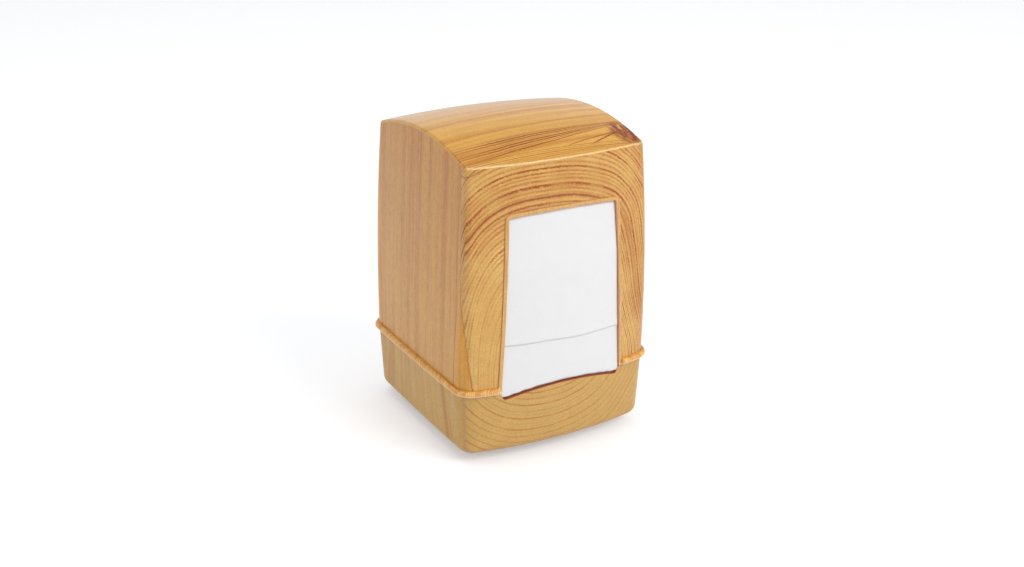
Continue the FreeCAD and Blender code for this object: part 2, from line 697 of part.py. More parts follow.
def make_track_plate():
    body = new_body("track_blank")
    outline = ring(body, "outline", FLOOR_TOP, "sole", "base_wall + track_side_gap")
    pad(body, outline, "thickness", "track_thickness")
    slots = [
        box(
            f"slot_{i}",
            f"{x} * slot_spacing / 2 - slot_width / 2",
            f"-({SLOT_OUTER})" if y < 0 else SLOT_INNER,
            "foot_height",
            "slot_width",
            f"{SLOT_OUTER} - ({SLOT_INNER})",
            "2 * base_floor",
        )
        for i, (x, y) in enumerate(CORNERS)
    ]
    hole_size = "screw_diameter + 2 * screw_clearance"
    holes = corner_posts("track_hole", SCREW_PLACE, "foot_height", hole_size, "2 * base_floor")
    return boolean("Cut", "track_plate", body, fuse("track_cutters", slots + holes))


# ---- Spring tower: an upright plate on a foot, with screw bosses and a spigot for each coil ----


def plate(label, width, low, height, thickness, corner, corners="Top"):
    """An upright plate facing front and rear, with its top corners or all corners rounded."""
    body = new_body(label)
    across = amount(width) / 2
    bottom = amount(low)
    top = bottom + amount(height)
    sketch = new_sketch(body, "outline", "XZ_Plane")
    sketch.addGeometry(
        [
            line((-across, bottom), (across, bottom)),
            line((across, bottom), (across, top)),
            line((across, top), (-across, top)),
            line((-across, top), (-across, bottom)),
        ],
        False,
    )
    for index in range(4):
        constrain(sketch, "Coincident", index, 2, (index + 1) % 4, 1)
    constrain(sketch, "Vertical", 1)
    constrain(sketch, "Vertical", 3)
    constrain(sketch, "Symmetric", 0, 1, 0, 2, -2)
    constrain(sketch, "Horizontal", 2)
    constrain(sketch, "DistanceX", 0, 1, 0, 2, now=2 * across, to=width)
    constrain(sketch, "DistanceY", -1, 1, 0, 1, now=bottom, to=low)
    constrain(sketch, "DistanceY", 1, 1, 1, 2, now=top - bottom, to=height)
    blank = pad(body, sketch, "thickness", thickness, both_ways=True)
    doc.recompute()
    box_now = blank.Shape.BoundBox
    middle = (box_now.ZMin + box_now.ZMax) / 2

    def rounded(edge):
        bounds = edge.BoundBox
        upright_face_edge = bounds.XLength < 0.01 and bounds.ZLength < 0.01
        return upright_face_edge and (corners == "All" or bounds.ZMin > middle)

    fillet(body, blank, "corner_rounding", edge_names(blank.Shape, rounded), corner)
    return body


def make_spring_tower():
    pieces = [
        plate("tower_plate", TOWER_WIDTH, TRACK_TOP, TOWER_HEIGHT, "tower_thickness", "tower_corner"),
        box(
            "tower_foot",
            f"-({TOWER_WIDTH}) / 2",
            "-tower_foot_depth / 2",
            TRACK_TOP,
            TOWER_WIDTH,
            "tower_foot_depth",
            "tower_foot_thickness",
        ),
    ]
    for x in (-1, 1):
        pieces.append(
            box(
                f"tower_rib_{x + 1}",
                f"{x} * (({TOWER_WIDTH}) / 2 - tower_rib_inset) - tower_rib_width / 2",
                "-tower_rib_depth",
                TRACK_TOP,
                "tower_rib_width",
                "2 * tower_rib_depth",
                f"{TOWER_HEIGHT} - tower_corner",
            )
        )
    pieces += corner_posts("tower_boss", SCREW_PLACE, TRACK_TOP, "boss_diameter", "boss_height")
    start = f"-({SPIGOT_END})"
    for name, axis in SPRING_AXES:
        pieces.append(post(f"tower_spigot_{name}", "0", start, axis, SPIGOT, f"2 * ({SPIGOT_END})", "y"))
    solid = fuse("tower_solid", pieces)
    bore_size = "screw_diameter + 2 * screw_bite"
    tip_room = "screw_recess + screw_length + 2 * screw_clearance"
    bores = corner_posts("tower_bore", SCREW_PLACE, "foot_height", bore_size, tip_room)
    return boolean("Cut", "spring_tower", solid, fuse("tower_bores", bores))


# ---- Tower screws: four pan heads under the base, driven up into the tower's bosses ----


def make_tower_screws():
    head_low = "foot_height + screw_recess - screw_head_height"
    heads = corner_posts("head", SCREW_PLACE, head_low, "screw_head_diameter", "screw_head_height")
    shank_low = "foot_height + screw_recess"
    shanks = corner_posts("shank", SCREW_PLACE, shank_low, "screw_diameter", "screw_length")
    return fuse("tower_screws", heads + shanks)


# ---- Napkins: a stack and the folded napkin in front of it, at each window ----

def napkin_form(label, inset):
    """The room for napkins, straight-sided between outlines, so inside the bowed walls."""
    body = new_body(label)
    outlines = [
        ring(body, "crown_outline", CROWN, "crown", inset),
        ring(body, "waist_outline", "waist_height", "waist", inset),
        ring(body, "seam_outline", "seam_height", "seam", inset),
        ring(body, "sole_outline", "foot_height", "sole", inset),
    ]
    loft(body, "walls", outlines, ruled=True)
    return body


def make_napkins(side, way, room):
    """The napkins at one window. Way is -1 at the front and 1 at the rear."""
    stack_room = napkin_form(f"{side}_stack_room", NAPKIN_INSET)
    bind(stack_room, "Placement.Base.y", f"{-way} * top_napkin_thickness")
    block = box(
        f"{side}_block",
        f"-({NAPKIN_WIDTH}) / 2",
        "-seam_depth" if way < 0 else STACK_BACK,
        NAPKIN_LOW,
        NAPKIN_WIDTH,
        f"seam_depth - ({STACK_BACK})",
        NAPKIN_HEIGHT,
    )
    whole = boolean("Common", f"{side}_napkins", block, room)
    stack = boolean("Common", f"{side}_napkin_stack", block, stack_room)
    top_napkin = boolean("Cut", f"{side}_top_napkin", whole, stack_room)
    return [stack, top_napkin]


# ---- Pushers: a rimmed plate behind each stack, on two shoes, with spigots for its coils ----


def make_pusher(side, way):
    depth = "pusher_thickness + pusher_rib_depth"
    label = f"{side}_pusher_blank"
    blank = plate(label, PUSHER_WIDTH, NAPKIN_LOW, PUSHER_HEIGHT, depth, "tower_corner", "All")
    bind(blank, "Placement.Base.y", f"{way} * ({PUSHER_FACE} - ({depth}) / 2)")
    hollow = box(
        f"{side}_pusher_hollow",
        f"pusher_rib_width - ({PUSHER_WIDTH}) / 2",
        f"{PUSHER_BACK} - 2 * pusher_rib_depth" if way > 0 else f"-({PUSHER_BACK})",
        f"{NAPKIN_LOW} + pusher_rib_width",
        f"{PUSHER_WIDTH} - 2 * pusher_rib_width",
        "2 * pusher_rib_depth",
        f"{PUSHER_HEIGHT} - 2 * pusher_rib_width",
    )
    pieces = [boolean("Cut", f"{side}_pusher_plate", blank, hollow)]
    for name, axis in SPRING_AXES:
        tip, root = f"{PUSHER_BACK} - spigot_length", f"{PUSHER_BACK} + pusher_thickness / 2"
        start = tip if way > 0 else f"-({root})"
        length = "spigot_length + pusher_thickness / 2"
        pieces.append(post(f"{side}_spigot_{name}", "0", start, axis, SPIGOT, length, "y"))
    for x in (-1, 1):
        west = f"{x} * slot_spacing / 2 - slot_width / 2 + shoe_clearance"
        width = "slot_width - 2 * shoe_clearance"
        pieces.append(
            box(
                f"{side}_shoe_{x + 1}",
                west,
                f"{way} * ({SHOE_MIDDLE}) - shoe_length / 2",
                f"{FLOOR_TOP} + shoe_clearance",
                width,
                "shoe_length",
                "track_thickness - 2 * shoe_clearance",
            )
        )
        pieces.append(
            box(
                f"{side}_neck_{x + 1}",
                west,
                f"{way} * ({SHOE_MIDDLE}) - pusher_thickness / 2",
                f"{FLOOR_TOP} + shoe_clearance",
                width,
                "pusher_thickness",
                "track_thickness + stack_gap",
            )
        )
    return fuse(f"{side}_pusher", pieces)


# ---- Springs: two coils between the tower and each pusher ----


def make_spring(label, way, axis):
    """A coil that stands on the tower's face and reaches to the pusher's back."""
    body = new_body(label)
    radius = size["spring_diameter"] / 2
    wire = size["spring_wire"]
    start = size["tower_thickness"] / 2 + size["spring_gap"] + wire / 2
    sketch = new_sketch(body, "wire", "XY_Plane")
    sketch.addGeometry(Part.Circle(V(radius, start, 0), V(0, 0, 1), wire / 2), False)
    constrain(sketch, "Diameter", 0, now=wire, to="spring_wire")
    constrain(sketch, "DistanceX", -1, 1, 0, 3, now=radius, to="spring_diameter / 2")
    start_size = "tower_thickness / 2 + spring_gap + spring_wire / 2"
    constrain(sketch, "DistanceY", -1, 1, 0, 3, now=start, to=start_size)
    coil = body.newObject("PartDesign::AdditiveHelix", "coil")
    coil.Profile = sketch
    coil.ReferenceAxis = (sketch, ["V_Axis"])
    coil.Mode = "height-turns-angle"
    bind(coil, "Height", f"{PUSHER_BACK} - tower_thickness / 2 - 2 * spring_gap - spring_wire")
    bind(coil, "Turns", "spring_turns")
    turn = 0 if way > 0 else 180
    body.Placement = FreeCAD.Placement(V(0, 0, 0), FreeCAD.Rotation(V(0, 0, 1), turn))
    bind(body, "Placement.Base.z", axis)
    return body


# ---- The whole dispenser ----

nodes = [make_cover(), make_base_tray(), make_track_plate(), make_spring_tower(), make_tower_screws()]
room = napkin_form("napkin_room", NAPKIN_INSET)
for side, way in (("front", -1), ("rear", 1)):
    nodes += make_napkins(side, way, room)
    nodes.append(make_pusher(side, way))
    for place, axis in SPRING_AXES:
        nodes.append(make_spring(f"{side}_{place}_spring", way, axis))
    for hand, across in (("left", -1), ("right", 1)):
        nodes.append(make_foot(f"{side}_{hand}_foot", across, way))
doc.recompute()

failed = [item.Label for item in doc.Objects if {"Invalid", "Error"} & set(item.State)]
if failed:
    raise RuntimeError(f"These features failed: {failed}")
for node in nodes:
    if node.Shape.isNull() or not node.Shape.isValid():
        raise RuntimeError(f"{node.Label} has no valid shape")

os.makedirs("parts", exist_ok=True)
for node in nodes:
    node.Shape.exportStep(f"parts/{node.Label}.step")
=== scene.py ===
import math
import random

import bmesh
import bpy
from mathutils import Matrix, Vector


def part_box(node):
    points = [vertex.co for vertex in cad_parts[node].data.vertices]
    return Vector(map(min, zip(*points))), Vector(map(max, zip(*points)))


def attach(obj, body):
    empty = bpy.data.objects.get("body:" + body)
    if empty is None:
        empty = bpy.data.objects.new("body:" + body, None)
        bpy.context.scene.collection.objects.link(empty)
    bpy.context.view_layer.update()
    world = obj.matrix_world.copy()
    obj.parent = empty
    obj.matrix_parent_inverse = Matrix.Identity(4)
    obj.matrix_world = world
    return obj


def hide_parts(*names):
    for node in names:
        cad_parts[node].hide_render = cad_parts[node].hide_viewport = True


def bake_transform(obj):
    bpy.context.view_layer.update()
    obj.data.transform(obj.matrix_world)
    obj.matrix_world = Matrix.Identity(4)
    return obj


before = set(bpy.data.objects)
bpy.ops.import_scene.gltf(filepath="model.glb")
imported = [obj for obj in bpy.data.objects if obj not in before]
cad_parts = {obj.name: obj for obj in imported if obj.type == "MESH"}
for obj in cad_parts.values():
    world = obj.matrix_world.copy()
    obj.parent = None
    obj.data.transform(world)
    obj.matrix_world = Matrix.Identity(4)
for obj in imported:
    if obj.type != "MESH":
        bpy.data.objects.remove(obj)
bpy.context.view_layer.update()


# ---- Base tray ----
# A shallow plastic moulding that carries everything else, printed outside with a light wood
# grain. Its rim dips at both ends of each window and arches up between them, and a plain collar
# inside holds the cover square.

MM = 0.001


def cad_corners(name):
    """The lowest and the highest corner of a CAD node, in millimetres."""
    return [[round(length / MM, 2) for length in corner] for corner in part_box(name)]


tray_low = cad_corners("base_tray")[0]
cover_low, cover_high = cad_corners("cover")

# Outline, with half widths and half depths from the middle
SOLE_TOP = tray_low[2]
SOLE_HALF_WIDTH = 50.1
SOLE_HALF_DEPTH = 53.7
SEAM = cover_low[2]
SEAM_HALF_WIDTH = 51.45
SEAM_HALF_DEPTH = 55.35
FACE_BOW = 205.0
LIP_HALF_WIDTH = 33.4
LIP_LOW = 32.0
LIP_HIGH = 37.0
LIP_DEPTH = 50.0

# Print: places and spacings of its lines
PRINT_FADE = (1.6, 2.1)
BOWL_HEIGHT = 83.2
BOWL_OFFSET = 8.3
BOWL_SPREAD = 1.315
BOWL_POWER = 2.5
BOWL_LINE_COUNT = 0.31
FAN_SPREAD = 0.005
CORNER_STREAK = 31.8
SOFT_STREAK = 27.5
STRIP_START = 35.7
STRIP_LEAN = 0.11
CORNER_LINE = 3.1

# Colours
PLAIN_TAN = (196, 152, 102)
BASE_FACE = (213, 171, 100)
BASE_FACE_LINE = (184, 112, 36)
BASE_SIDE = (215, 172, 97)
BASE_SIDE_STREAK = (194, 130, 58)
BASE_STRIP = (216, 174, 100)
BASE_STRIP_DEEP = (202, 154, 80)
BASE_STRIP_LINE = (176, 118, 60)
SOLE_LINE = (232, 164, 78)
LIP_EDGE_SHADE = (168, 80, 48)


def tint(shade):
    """A colour given in everyday 0 to 255 steps, as the shader needs it."""
    linear = []
    for part in shade:
        step = part / 255
        linear.append(step / 12.92 if step <= 0.04045 else ((step + 0.055) / 1.055) ** 2.4)
    return (*linear, 1.0)


class Wire:
    """An output of a finish's nodes. Sums and products of wires make their own Math nodes."""

    def __init__(self, tree, socket):
        self.tree = tree
        self.socket = socket

    def node(self, kind, settings, inputs, output=0):
        """Adds a node: its settings first, then the value or the wire of each socket."""
        made = self.tree.nodes.new(kind)
        for name, value in settings.items():
            setattr(made, name, value)
        for name, value in inputs.items():
            if isinstance(value, Wire):
                self.tree.links.new(value.socket, made.inputs[name])
            else:
                made.inputs[name].default_value = value
        return Wire(self.tree, made.outputs[output])

    def other(self, output):
        """Another output of the same node."""
        return Wire(self.tree, self.socket.node.outputs[output])

    def math(self, operation, *others):
        """A Math node on this wire and the others."""
        values = dict(enumerate((self, *others)))
        return self.node("ShaderNodeMath", {"operation": operation}, values)

    def __add__(self, other):
        return self.math("ADD", other)

    def __radd__(self, other):
        return self.math("ADD", other)

    def __sub__(self, other):
        return self.math("SUBTRACT", other)

    def __rsub__(self, other):
        return self.node("ShaderNodeMath", {"operation": "SUBTRACT"}, {0: other, 1: self})

    def __mul__(self, other):
        return self.math("MULTIPLY", other)

    def __rmul__(self, other):
        return self.math("MULTIPLY", other)

    def __truediv__(self, other):
        return self.math("DIVIDE", other)

    def __pow__(self, other):
        return self.math("POWER", other)

    def __abs__(self):
        return self.math("ABSOLUTE")

    def rise(self, low, high):
        """From 0 at low to 1 at high, softly. Low above high runs the other way."""
        values = {"Value": self, "From Min": low, "From Max": high}
        return self.node("ShaderNodeMapRange", {"interpolation_type": "SMOOTHSTEP"}, values)

    def ridge(self, middle, reach):
        """1 at the middle, falling to 0 at reach from it."""
        return abs(self - middle).rise(reach, 0.0)

    def blend(self, plain, marked):
        """The plain colour, or the marked one where this wire is 1."""
        # A Mix node takes its two colours in sockets 6 and 7, and gives a colour in output 2
        settings = {"data_type": "RGBA", "clamp_factor": True}
        return self.node("ShaderNodeMix", settings, {0: self, 6: plain, 7: marked}, 2)

    def joined(self, across, up):
        """A vector of this wire and two more values."""
        return self.node("ShaderNodeCombineXYZ", {}, {0: self, 1: across, 2: up})

    def cloud(self, grain, detail=2.0, roughness=0.5):
        """Noise with features about grain millimetres apart, from a place in millimetres."""
        values = {"Vector": self, "Scale": 1 / grain, "Detail": detail, "Roughness": roughness}
        return self.node("ShaderNodeTexNoise", {}, values)

    def bump(self, height, strength):
        """A surface raised by height, in millimetres."""
        values = {"Strength": strength, "Distance": MM, "Height": height}
        return self.node("ShaderNodeBump", {}, values)


def new_finish(name, roughness):
    """A new material: itself, its shader node and the place on the piece in millimetres."""
    material = bpy.data.materials.new(name)
    material.use_nodes = True
    tree = material.node_tree
    shader = tree.nodes["Principled BSDF"]
    shader.inputs["Roughness"].default_value = roughness
    start = Wire(tree, shader.outputs[0])
    place = start.node("ShaderNodeTexCoord", {}, {}, "Object")
    place = place.node("ShaderNodeVectorMath", {"operation": "SCALE"}, {0: place, "Scale": 1 / MM})
    return material, shader, place


def feed(wire, shader, name):
    """Leads a wire into one of the shader's sockets."""
    wire.tree.links.new(wire.socket, shader.inputs[name])


def dress(name, material):
    """Gives a CAD node its finish."""
    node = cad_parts[name]
    node.data.materials.clear()
    node.data.materials.append(material)


def year_lines(count, width):
    """Thin dark lines, one in the middle of each step of count, each with its own darkness."""
    values = {"W": count.math("FLOOR")}
    darkness = count.node("ShaderNodeTexWhiteNoise", {"noise_dimensions": "1D"}, values)
    line = abs(count.math("FRACT") - 0.5).rise(width, 0.0)
    return line * (darkness * 0.75 + 0.25)


def bearings(place):
    """Where a place lies, as three values, and which way its surface faces."""
    split = place.node("ShaderNodeSeparateXYZ", {}, {0: place})
    normal = place.node("ShaderNodeTexCoord", {}, {}, "Normal")
    facing = normal.node("ShaderNodeSeparateXYZ", {}, {0: normal})
    return split, split.other(1), split.other(2), facing


def wall_depth(x, y, half_width, half_depth):
    """How deep a place lies behind the moulding's outer walls, in millimetres."""
    bow = FACE_BOW - (FACE_BOW**2 - x * x).math("SQRT")
    return (half_width - abs(x)).math("MINIMUM", half_depth - bow - abs(y))


def print_film(place, colour, shader, roughness):
    """Lays the colour on as a printed film, with its fine dots, its faint relief and its sheen."""
    fine = place.cloud(0.75, 2.0)
    broad = place.cloud(9.0, 2.0)
    specks = (fine - 0.5) * 0.50 + (broad - 0.5) * 0.16 + 1.0
    settings = {"operation": "SCALE"}
    dotted = place.node("ShaderNodeVectorMath", settings, {0: colour, "Scale": specks})
    feed(dotted, shader, "Base Color")
    feed(place.bump(place.cloud(0.5, 2.0) * 0.02, 0.35), shader, "Normal")
    feed(place.cloud(3.0, 2.0) * 0.12 + roughness, shader, "Roughness")


base_finish, shader, place = new_finish("wood_print_base", 0.40)
shader.inputs["Specular IOR Level"].default_value = 0.35
x, y, z, facing = bearings(place)

# Front and rear carry the same print: across runs from left to right before either of them.
# Drift bends the printed lines slowly, and fray roughens their edges.
way = (0.0 - y).math("SIGN")
across = x * way
drift = place.cloud(18.0, 2.0) - 0.5
fray = place.cloud(1.1, 2.0) - 0.5

# Front and rear: bowls of year lines that open upwards
sag = (BOWL_HEIGHT - z + drift * 1.8).math("MAXIMUM", 0.1)
lean = abs(across + BOWL_OFFSET + drift * 2.0) * BOWL_SPREAD
bowl = (lean**BOWL_POWER + sag**BOWL_POWER) ** (1 / BOWL_POWER) + fray * 0.45
step = bowl * BOWL_LINE_COUNT + (bowl.joined(0.0, 0.0).cloud(6.0) - 0.5) * 1.2
rings = year_lines(step, 0.17)
thin = year_lines(step * 2.3 + drift, 0.26)
face_mark = rings * (place.cloud(11.0) * 1.7 - 0.1) + thin * 0.22 + place.cloud(5.0, 3.0) * 0.12
face_colour = face_mark.math("MINIMUM", 1.0).blend(tint(BASE_FACE), tint(BASE_FACE_LINE))

# Sides: soft streaks that fan out downwards, with one dark and one soft broad one at each end
fan = y / (1.0 + (SEAM - z) * FAN_SPREAD)
streak = fan.joined(x * 0.1, z * 0.012).cloud(6.0, 3.0, 0.6).rise(0.46, 0.76)
streak = streak * 0.65 + fan.joined(5.0, z * 0.02).cloud(1.4, 2.0).rise(0.4, 0.75) * 0.35
corner_streak = abs(fan).ridge(CORNER_STREAK, 1.2) * z.rise(32.0, 12.0) * 0.8
soft_streak = abs(fan).ridge(SOFT_STREAK, 5.0) * 0.35
side_mark = (streak + corner_streak + soft_streak).math("MINIMUM", 1.0)
side_colour = side_mark.blend(tint(BASE_SIDE), tint(BASE_SIDE_STREAK))

# A plain golden strip parts the side print from the front print
strip = (abs(y) - z * STRIP_LEAN).rise(STRIP_START, STRIP_START + 0.4)
round_corner = abs(x) - abs(y)
strip_colour = place.cloud(4.0, 3.0).blend(tint(BASE_STRIP), tint(BASE_STRIP_DEEP))
wood = strip.blend(side_colour, strip_colour)
wood = round_corner.rise(CORNER_LINE + 0.1, CORNER_LINE - 0.3).blend(wood, face_colour)
strip_line = round_corner.ridge(CORNER_LINE, 0.45) * 0.2
wood = strip_line.blend(wood, tint(BASE_STRIP_LINE))
sole_line = z.ridge(SOLE_TOP + 0.9, 0.9) * 0.75
wood = sole_line.blend(wood, tint(SOLE_LINE))

# The inside and the sole are unprinted, and the lip's edge has a dark line of painted shade
flare = (z - SOLE_TOP) * (1 / (SEAM - SOLE_TOP))
half_width = SOLE_HALF_WIDTH + flare * (SEAM_HALF_WIDTH - SOLE_HALF_WIDTH)
half_depth = SOLE_HALF_DEPTH + flare * (SEAM_HALF_DEPTH - SOLE_HALF_DEPTH)
inside = wall_depth(x, y, half_width, half_depth).rise(*PRINT_FADE)
plain = inside.math("MAXIMUM", z.rise(SOLE_TOP + 0.4, SOLE_TOP + 0.1))
colour = plain.blend(wood, tint(PLAIN_TAN))
# Painted shade: a dark red-brown line along the lip's top edge, where the napkin meets it
lip_height = z.rise(LIP_LOW - 0.5, LIP_LOW) * z.rise(LIP_HIGH + 0.2, LIP_HIGH - 0.1)
lip = facing.other(2).rise(0.4, 0.6) * abs(y).rise(LIP_DEPTH - 0.5, LIP_DEPTH) * lip_height
lip = lip * abs(x).rise(LIP_HALF_WIDTH + 0.4, LIP_HALF_WIDTH)
colour = lip.blend(colour, tint(LIP_EDGE_SHADE))
print_film(place, colour, shader, 0.34)
dress("base_tray", base_finish)


# ---- Bumper feet ----
# Four clear discs of soft rubber-like plastic under the tray's corners. Each is stuck into a
# shallow recess and rounded where it meets the table.

FOOT_HAZE = (206, 202, 196)
FOOT_CLEAR = (230, 228, 224)

foot_finish, shader, place = new_finish("clear_bumper", 0.22)
shader.inputs["Transmission Weight"].default_value = 0.45
shader.inputs["IOR"].default_value = 1.45
haze = place.cloud(1.5, 2.0).blend(tint(FOOT_HAZE), tint(FOOT_CLEAR))
feed(haze, shader, "Base Color")
for side in ("front", "rear"):
    for hand in ("left", "right"):
        dress(f"{side}_{hand}_foot", foot_finish)


# ---- Track plate, spring tower and pushers ----
# Plain white plastic mouldings inside the tray: the plate with the guide slots, the upright
# tower, and the two rimmed plates that slide in the slots and press the napkins outwards.

WHITE_MOULDING = (222, 222, 218)
WHITE_MOULDING_PALE = (236, 236, 233)

white_finish, shader, place = new_finish("white_moulding", 0.42)
mould = place.cloud(14.0, 3.0) * 0.6 + place.cloud(0.8, 2.0) * 0.4
feed(mould.blend(tint(WHITE_MOULDING), tint(WHITE_MOULDING_PALE)), shader, "Base Color")
feed(place.bump(place.cloud(0.35, 3.0) * 0.03, 0.4), shader, "Normal")
for name in ("track_plate", "spring_tower", "front_pusher", "rear_pusher"):
    dress(name, white_finish)


# ---- Tower screws ----
# Zinc-plated steel screws with pan heads. They are driven up through the tray's floor, from
# recesses in its underside, and hold the tower down.

ZINC = (150, 152, 155)
ZINC_PALE = (196, 197, 196)

screw_finish, shader, place = new_finish("zinc_screw", 0.3)
shader.inputs["Metallic"].default_value = 1.0
feed(place.cloud(0.7, 3.0).blend(tint(ZINC), tint(ZINC_PALE)), shader, "Base Color")
dress("tower_screws", screw_finish)


# ---- Coil springs ----
# Two coils of drawn steel wire between the tower and each pusher, an upper and a lower one.

WIRE_RADIUS = 0.45
SPRING_CLEARANCE = 0.01
spring_low, spring_high = cad_corners("front_lower_spring")
SPRING_RADIUS = spring_high[0] - WIRE_RADIUS
SPRING_START = SPRING_CLEARANCE - spring_high[1]
SPRING_END = -spring_low[1] - SPRING_CLEARANCE
SPRING_TURNS = 4
SPRING_STEPS = 30
WIRE_SIDES = 10
CLOSED_PITCH = 1.15

# Colours
WIRE_STEEL = (120, 121, 124)
WIRE_STEEL_PALE = (178, 178, 176)

spring_finish, shader, place = new_finish("spring_wire", 0.28)
shader.inputs["Metallic"].default_value = 1.0
feed(place.cloud(0.9, 3.0).blend(tint(WIRE_STEEL), tint(WIRE_STEEL_PALE)), shader, "Base Color")


def finished_piece(name, form, material, smooth=True):
    """Makes an object of a bmesh that is drawn in millimetres, in its place."""
    bmesh.ops.scale(form, vec=(MM, MM, MM), verts=form.verts)
    mesh = bpy.data.meshes.new(name)
    form.to_mesh(mesh)
    form.free()
    mesh.materials.append(material)
    if smooth:
        mesh.polygons.foreach_set("use_smooth", [True] * len(mesh.polygons))
    piece = bpy.data.objects.new(name, mesh)
    bpy.context.scene.collection.objects.link(piece)
    return piece


def half_turned(form):
    """Turns a form made for the front half way round, for the rear."""
    turn = Matrix.Rotation(math.pi, 3, "Z")
    bmesh.ops.rotate(form, cent=(0, 0, 0), matrix=turn, verts=form.verts)


def coil(level, way):
    """A coil along Y with one closed turn at each end, as drawn wire is wound."""
    form = bmesh.new()
    start = Matrix.Translation((SPRING_RADIUS, SPRING_START + WIRE_RADIUS, 0))
    bmesh.ops.create_circle(
        form, segments=WIRE_SIDES, radius=WIRE_RADIUS, matrix=start, cap_ends=True
    )
    length = SPRING_END - SPRING_START - 2 * WIRE_RADIUS
    closed = CLOSED_PITCH * 2 * WIRE_RADIUS
    tip = next(iter(form.faces))
    for turns, run in ((1, closed), (SPRING_TURNS, length - 2 * closed), (1, closed)):
        steps = turns * SPRING_STEPS
        made = bmesh.ops.spin(
            form,
            geom=[*tip.verts, *tip.edges, tip],
            cent=(0, 0, 0),
            axis=(0, 1, 0),
            dvec=(0, run / steps, 0),
            angle=turns * math.tau,
            steps=steps,
            use_merge=False,
            use_duplicate=False,
        )
        tip = next(item for item in made["geom_last"] if isinstance(item, bmesh.types.BMFace))
    bmesh.ops.remove_doubles(form, verts=form.verts, dist=1e-5)
    bmesh.ops.recalc_face_normals(form, faces=form.faces)
    if way < 0:
        half_turned(form)
    bmesh.ops.translate(form, vec=(0, 0, level), verts=form.verts)
    return form


for side, way in (("front", -1), ("rear", 1)):
    for height in ("lower", "upper"):
        name = f"{side}_{height}_spring"
        spring_low, spring_high = cad_corners(name)
        level = (spring_low[2] + spring_high[2]) / 2
        piece = finished_piece(f"{name}_coil", coil(level, way), spring_finish)
        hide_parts(name)
        start = (0, way * SPRING_START * MM, level * MM)
        end = (0, way * SPRING_END * MM, level * MM)
        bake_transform(piece)


# ---- Napkins ----
# White tissue napkins, folded in three and lightly embossed. One folded sheet lies in each
# window with its free flap in front, and a stack of the same napkins stands on edge behind it.

# The sheet's reach, and how the free flap's lower edge runs
NAPKIN_CLEARANCE = 0.05
napkin_low, napkin_high = cad_corners("front_top_napkin")
NAPKIN_LOW = napkin_low[2] + NAPKIN_CLEARANCE
NAPKIN_TOP = napkin_high[2] - NAPKIN_CLEARANCE
NAPKIN_WIDTH = 2 * napkin_high[0]
FLAP_EDGE = 58.6
FLAP_SAG = 0.6
FLAP_SLOPE_START = -7.0
FLAP_SLOPE = 0.052
FLAP_BEND = 4.0
FLAP_LIFT = 0.15
FLAP_LIFT_REACH = 5.0

# The walls and the window that it lies against
LIP_CROWN = 36.1
LIP_DROP = 3.4
LIP_REACH = 29.3
WAIST = 97.0
WAIST_HALF_DEPTH = 55.15
ROOF_END = cover_high[2] + 2.0
ROOF_END_HALF_DEPTH = 50.45
NAPKIN_WALL_GAP = 2.5
NAPKIN_BOW = 202.5
EDGE_START = 42.6
EDGE_CURL = 12.6
WINDOW_FOOT = 34.5
WINDOW_FOOT_HALF = 32.8
WINDOW_LEAN = 0.0495
WINDOW_HEAD = 122.6
HEAD_BOW = 0.0015

# The sheet's mesh, its folds and how it swells into the window. Columns count from the middle.
COLUMNS = 46
WINDOW_COLUMNS = 41
COLUMN_PITCH = 0.73
SHEET_ROWS = 330
LEAF_THICKNESS = 0.13
LEAF_DEPTHS = (0.10, 0.40, 0.70)
BACK_LEAF_SHORT = 4.0
SIDE_GAP = 0.08
SIDE_TURN = 0.3
SWELL = 2.05
LOW_SWELL = 0.35
LOW_SWELL_TOP = 70.0
LOW_SWELL_FADE = 30.0

# The stack behind it
stack_low, stack_high = cad_corners("front_napkin_stack")
STACK_FRONT_GAP = stack_low[1] - napkin_low[1] + NAPKIN_CLEARANCE
STACK_DEPTH = stack_high[1] - stack_low[1] - 2 * NAPKIN_CLEARANCE
STACK_COUNT = 25
SLAB_SHORT = 0.3
SLAB_HEIGHT_SPREAD = 1.2
SLAB_NARROW = 0.5
SLAB_WIDTH_SPREAD = 0.8
SLAB_FILL = 0.93
SLAB_ROUNDING = 0.4
SLAB_PARTS = 10
SLAB_SHIFT = 0.2

# Colours
TISSUE = (236, 235, 234)
TISSUE_PALE = (244, 243, 242)

napkin_finish, shader, place = new_finish("napkin_tissue", 0.9)
fuzz = place.cloud(0.9, 3.0)
mottle = place.cloud(7.0, 2.0)
feed((fuzz * 0.5 + mottle * 0.5).blend(tint(TISSUE), tint(TISSUE_PALE)), shader, "Base Color")
emboss = place.node("ShaderNodeTexVoronoi", {}, {"Vector": place, "Scale": 0.9})
feed(place.bump(emboss * 0.05 + fuzz * 0.03, 0.35), shader, "Normal")
shader.inputs["Sheen Weight"].default_value = 0.15


def wall_line(z):
    """How far the napkins' front stands from the centre at one height, in its middle."""
    levels = (
        (SOLE_TOP, SOLE_HALF_DEPTH),
        (SEAM, SEAM_HALF_DEPTH),
        (WAIST, WAIST_HALF_DEPTH),
        (ROOF_END, ROOF_END_HALF_DEPTH),
    )
    for (low, near), (high, far) in zip(levels, levels[1:]):
        if z <= high:
            return near + (far - near) * (z - low) / (high - low) - NAPKIN_WALL_GAP
    return ROOF_END_HALF_DEPTH - NAPKIN_WALL_GAP


def bow_at(x):
    """How far the napkins bend back at one place across, more at their outer edges."""
    past_edge = max(abs(x) - EDGE_START, 0.0)
    return NAPKIN_BOW - math.sqrt(NAPKIN_BOW**2 - x * x) + past_edge * past_edge / EDGE_CURL


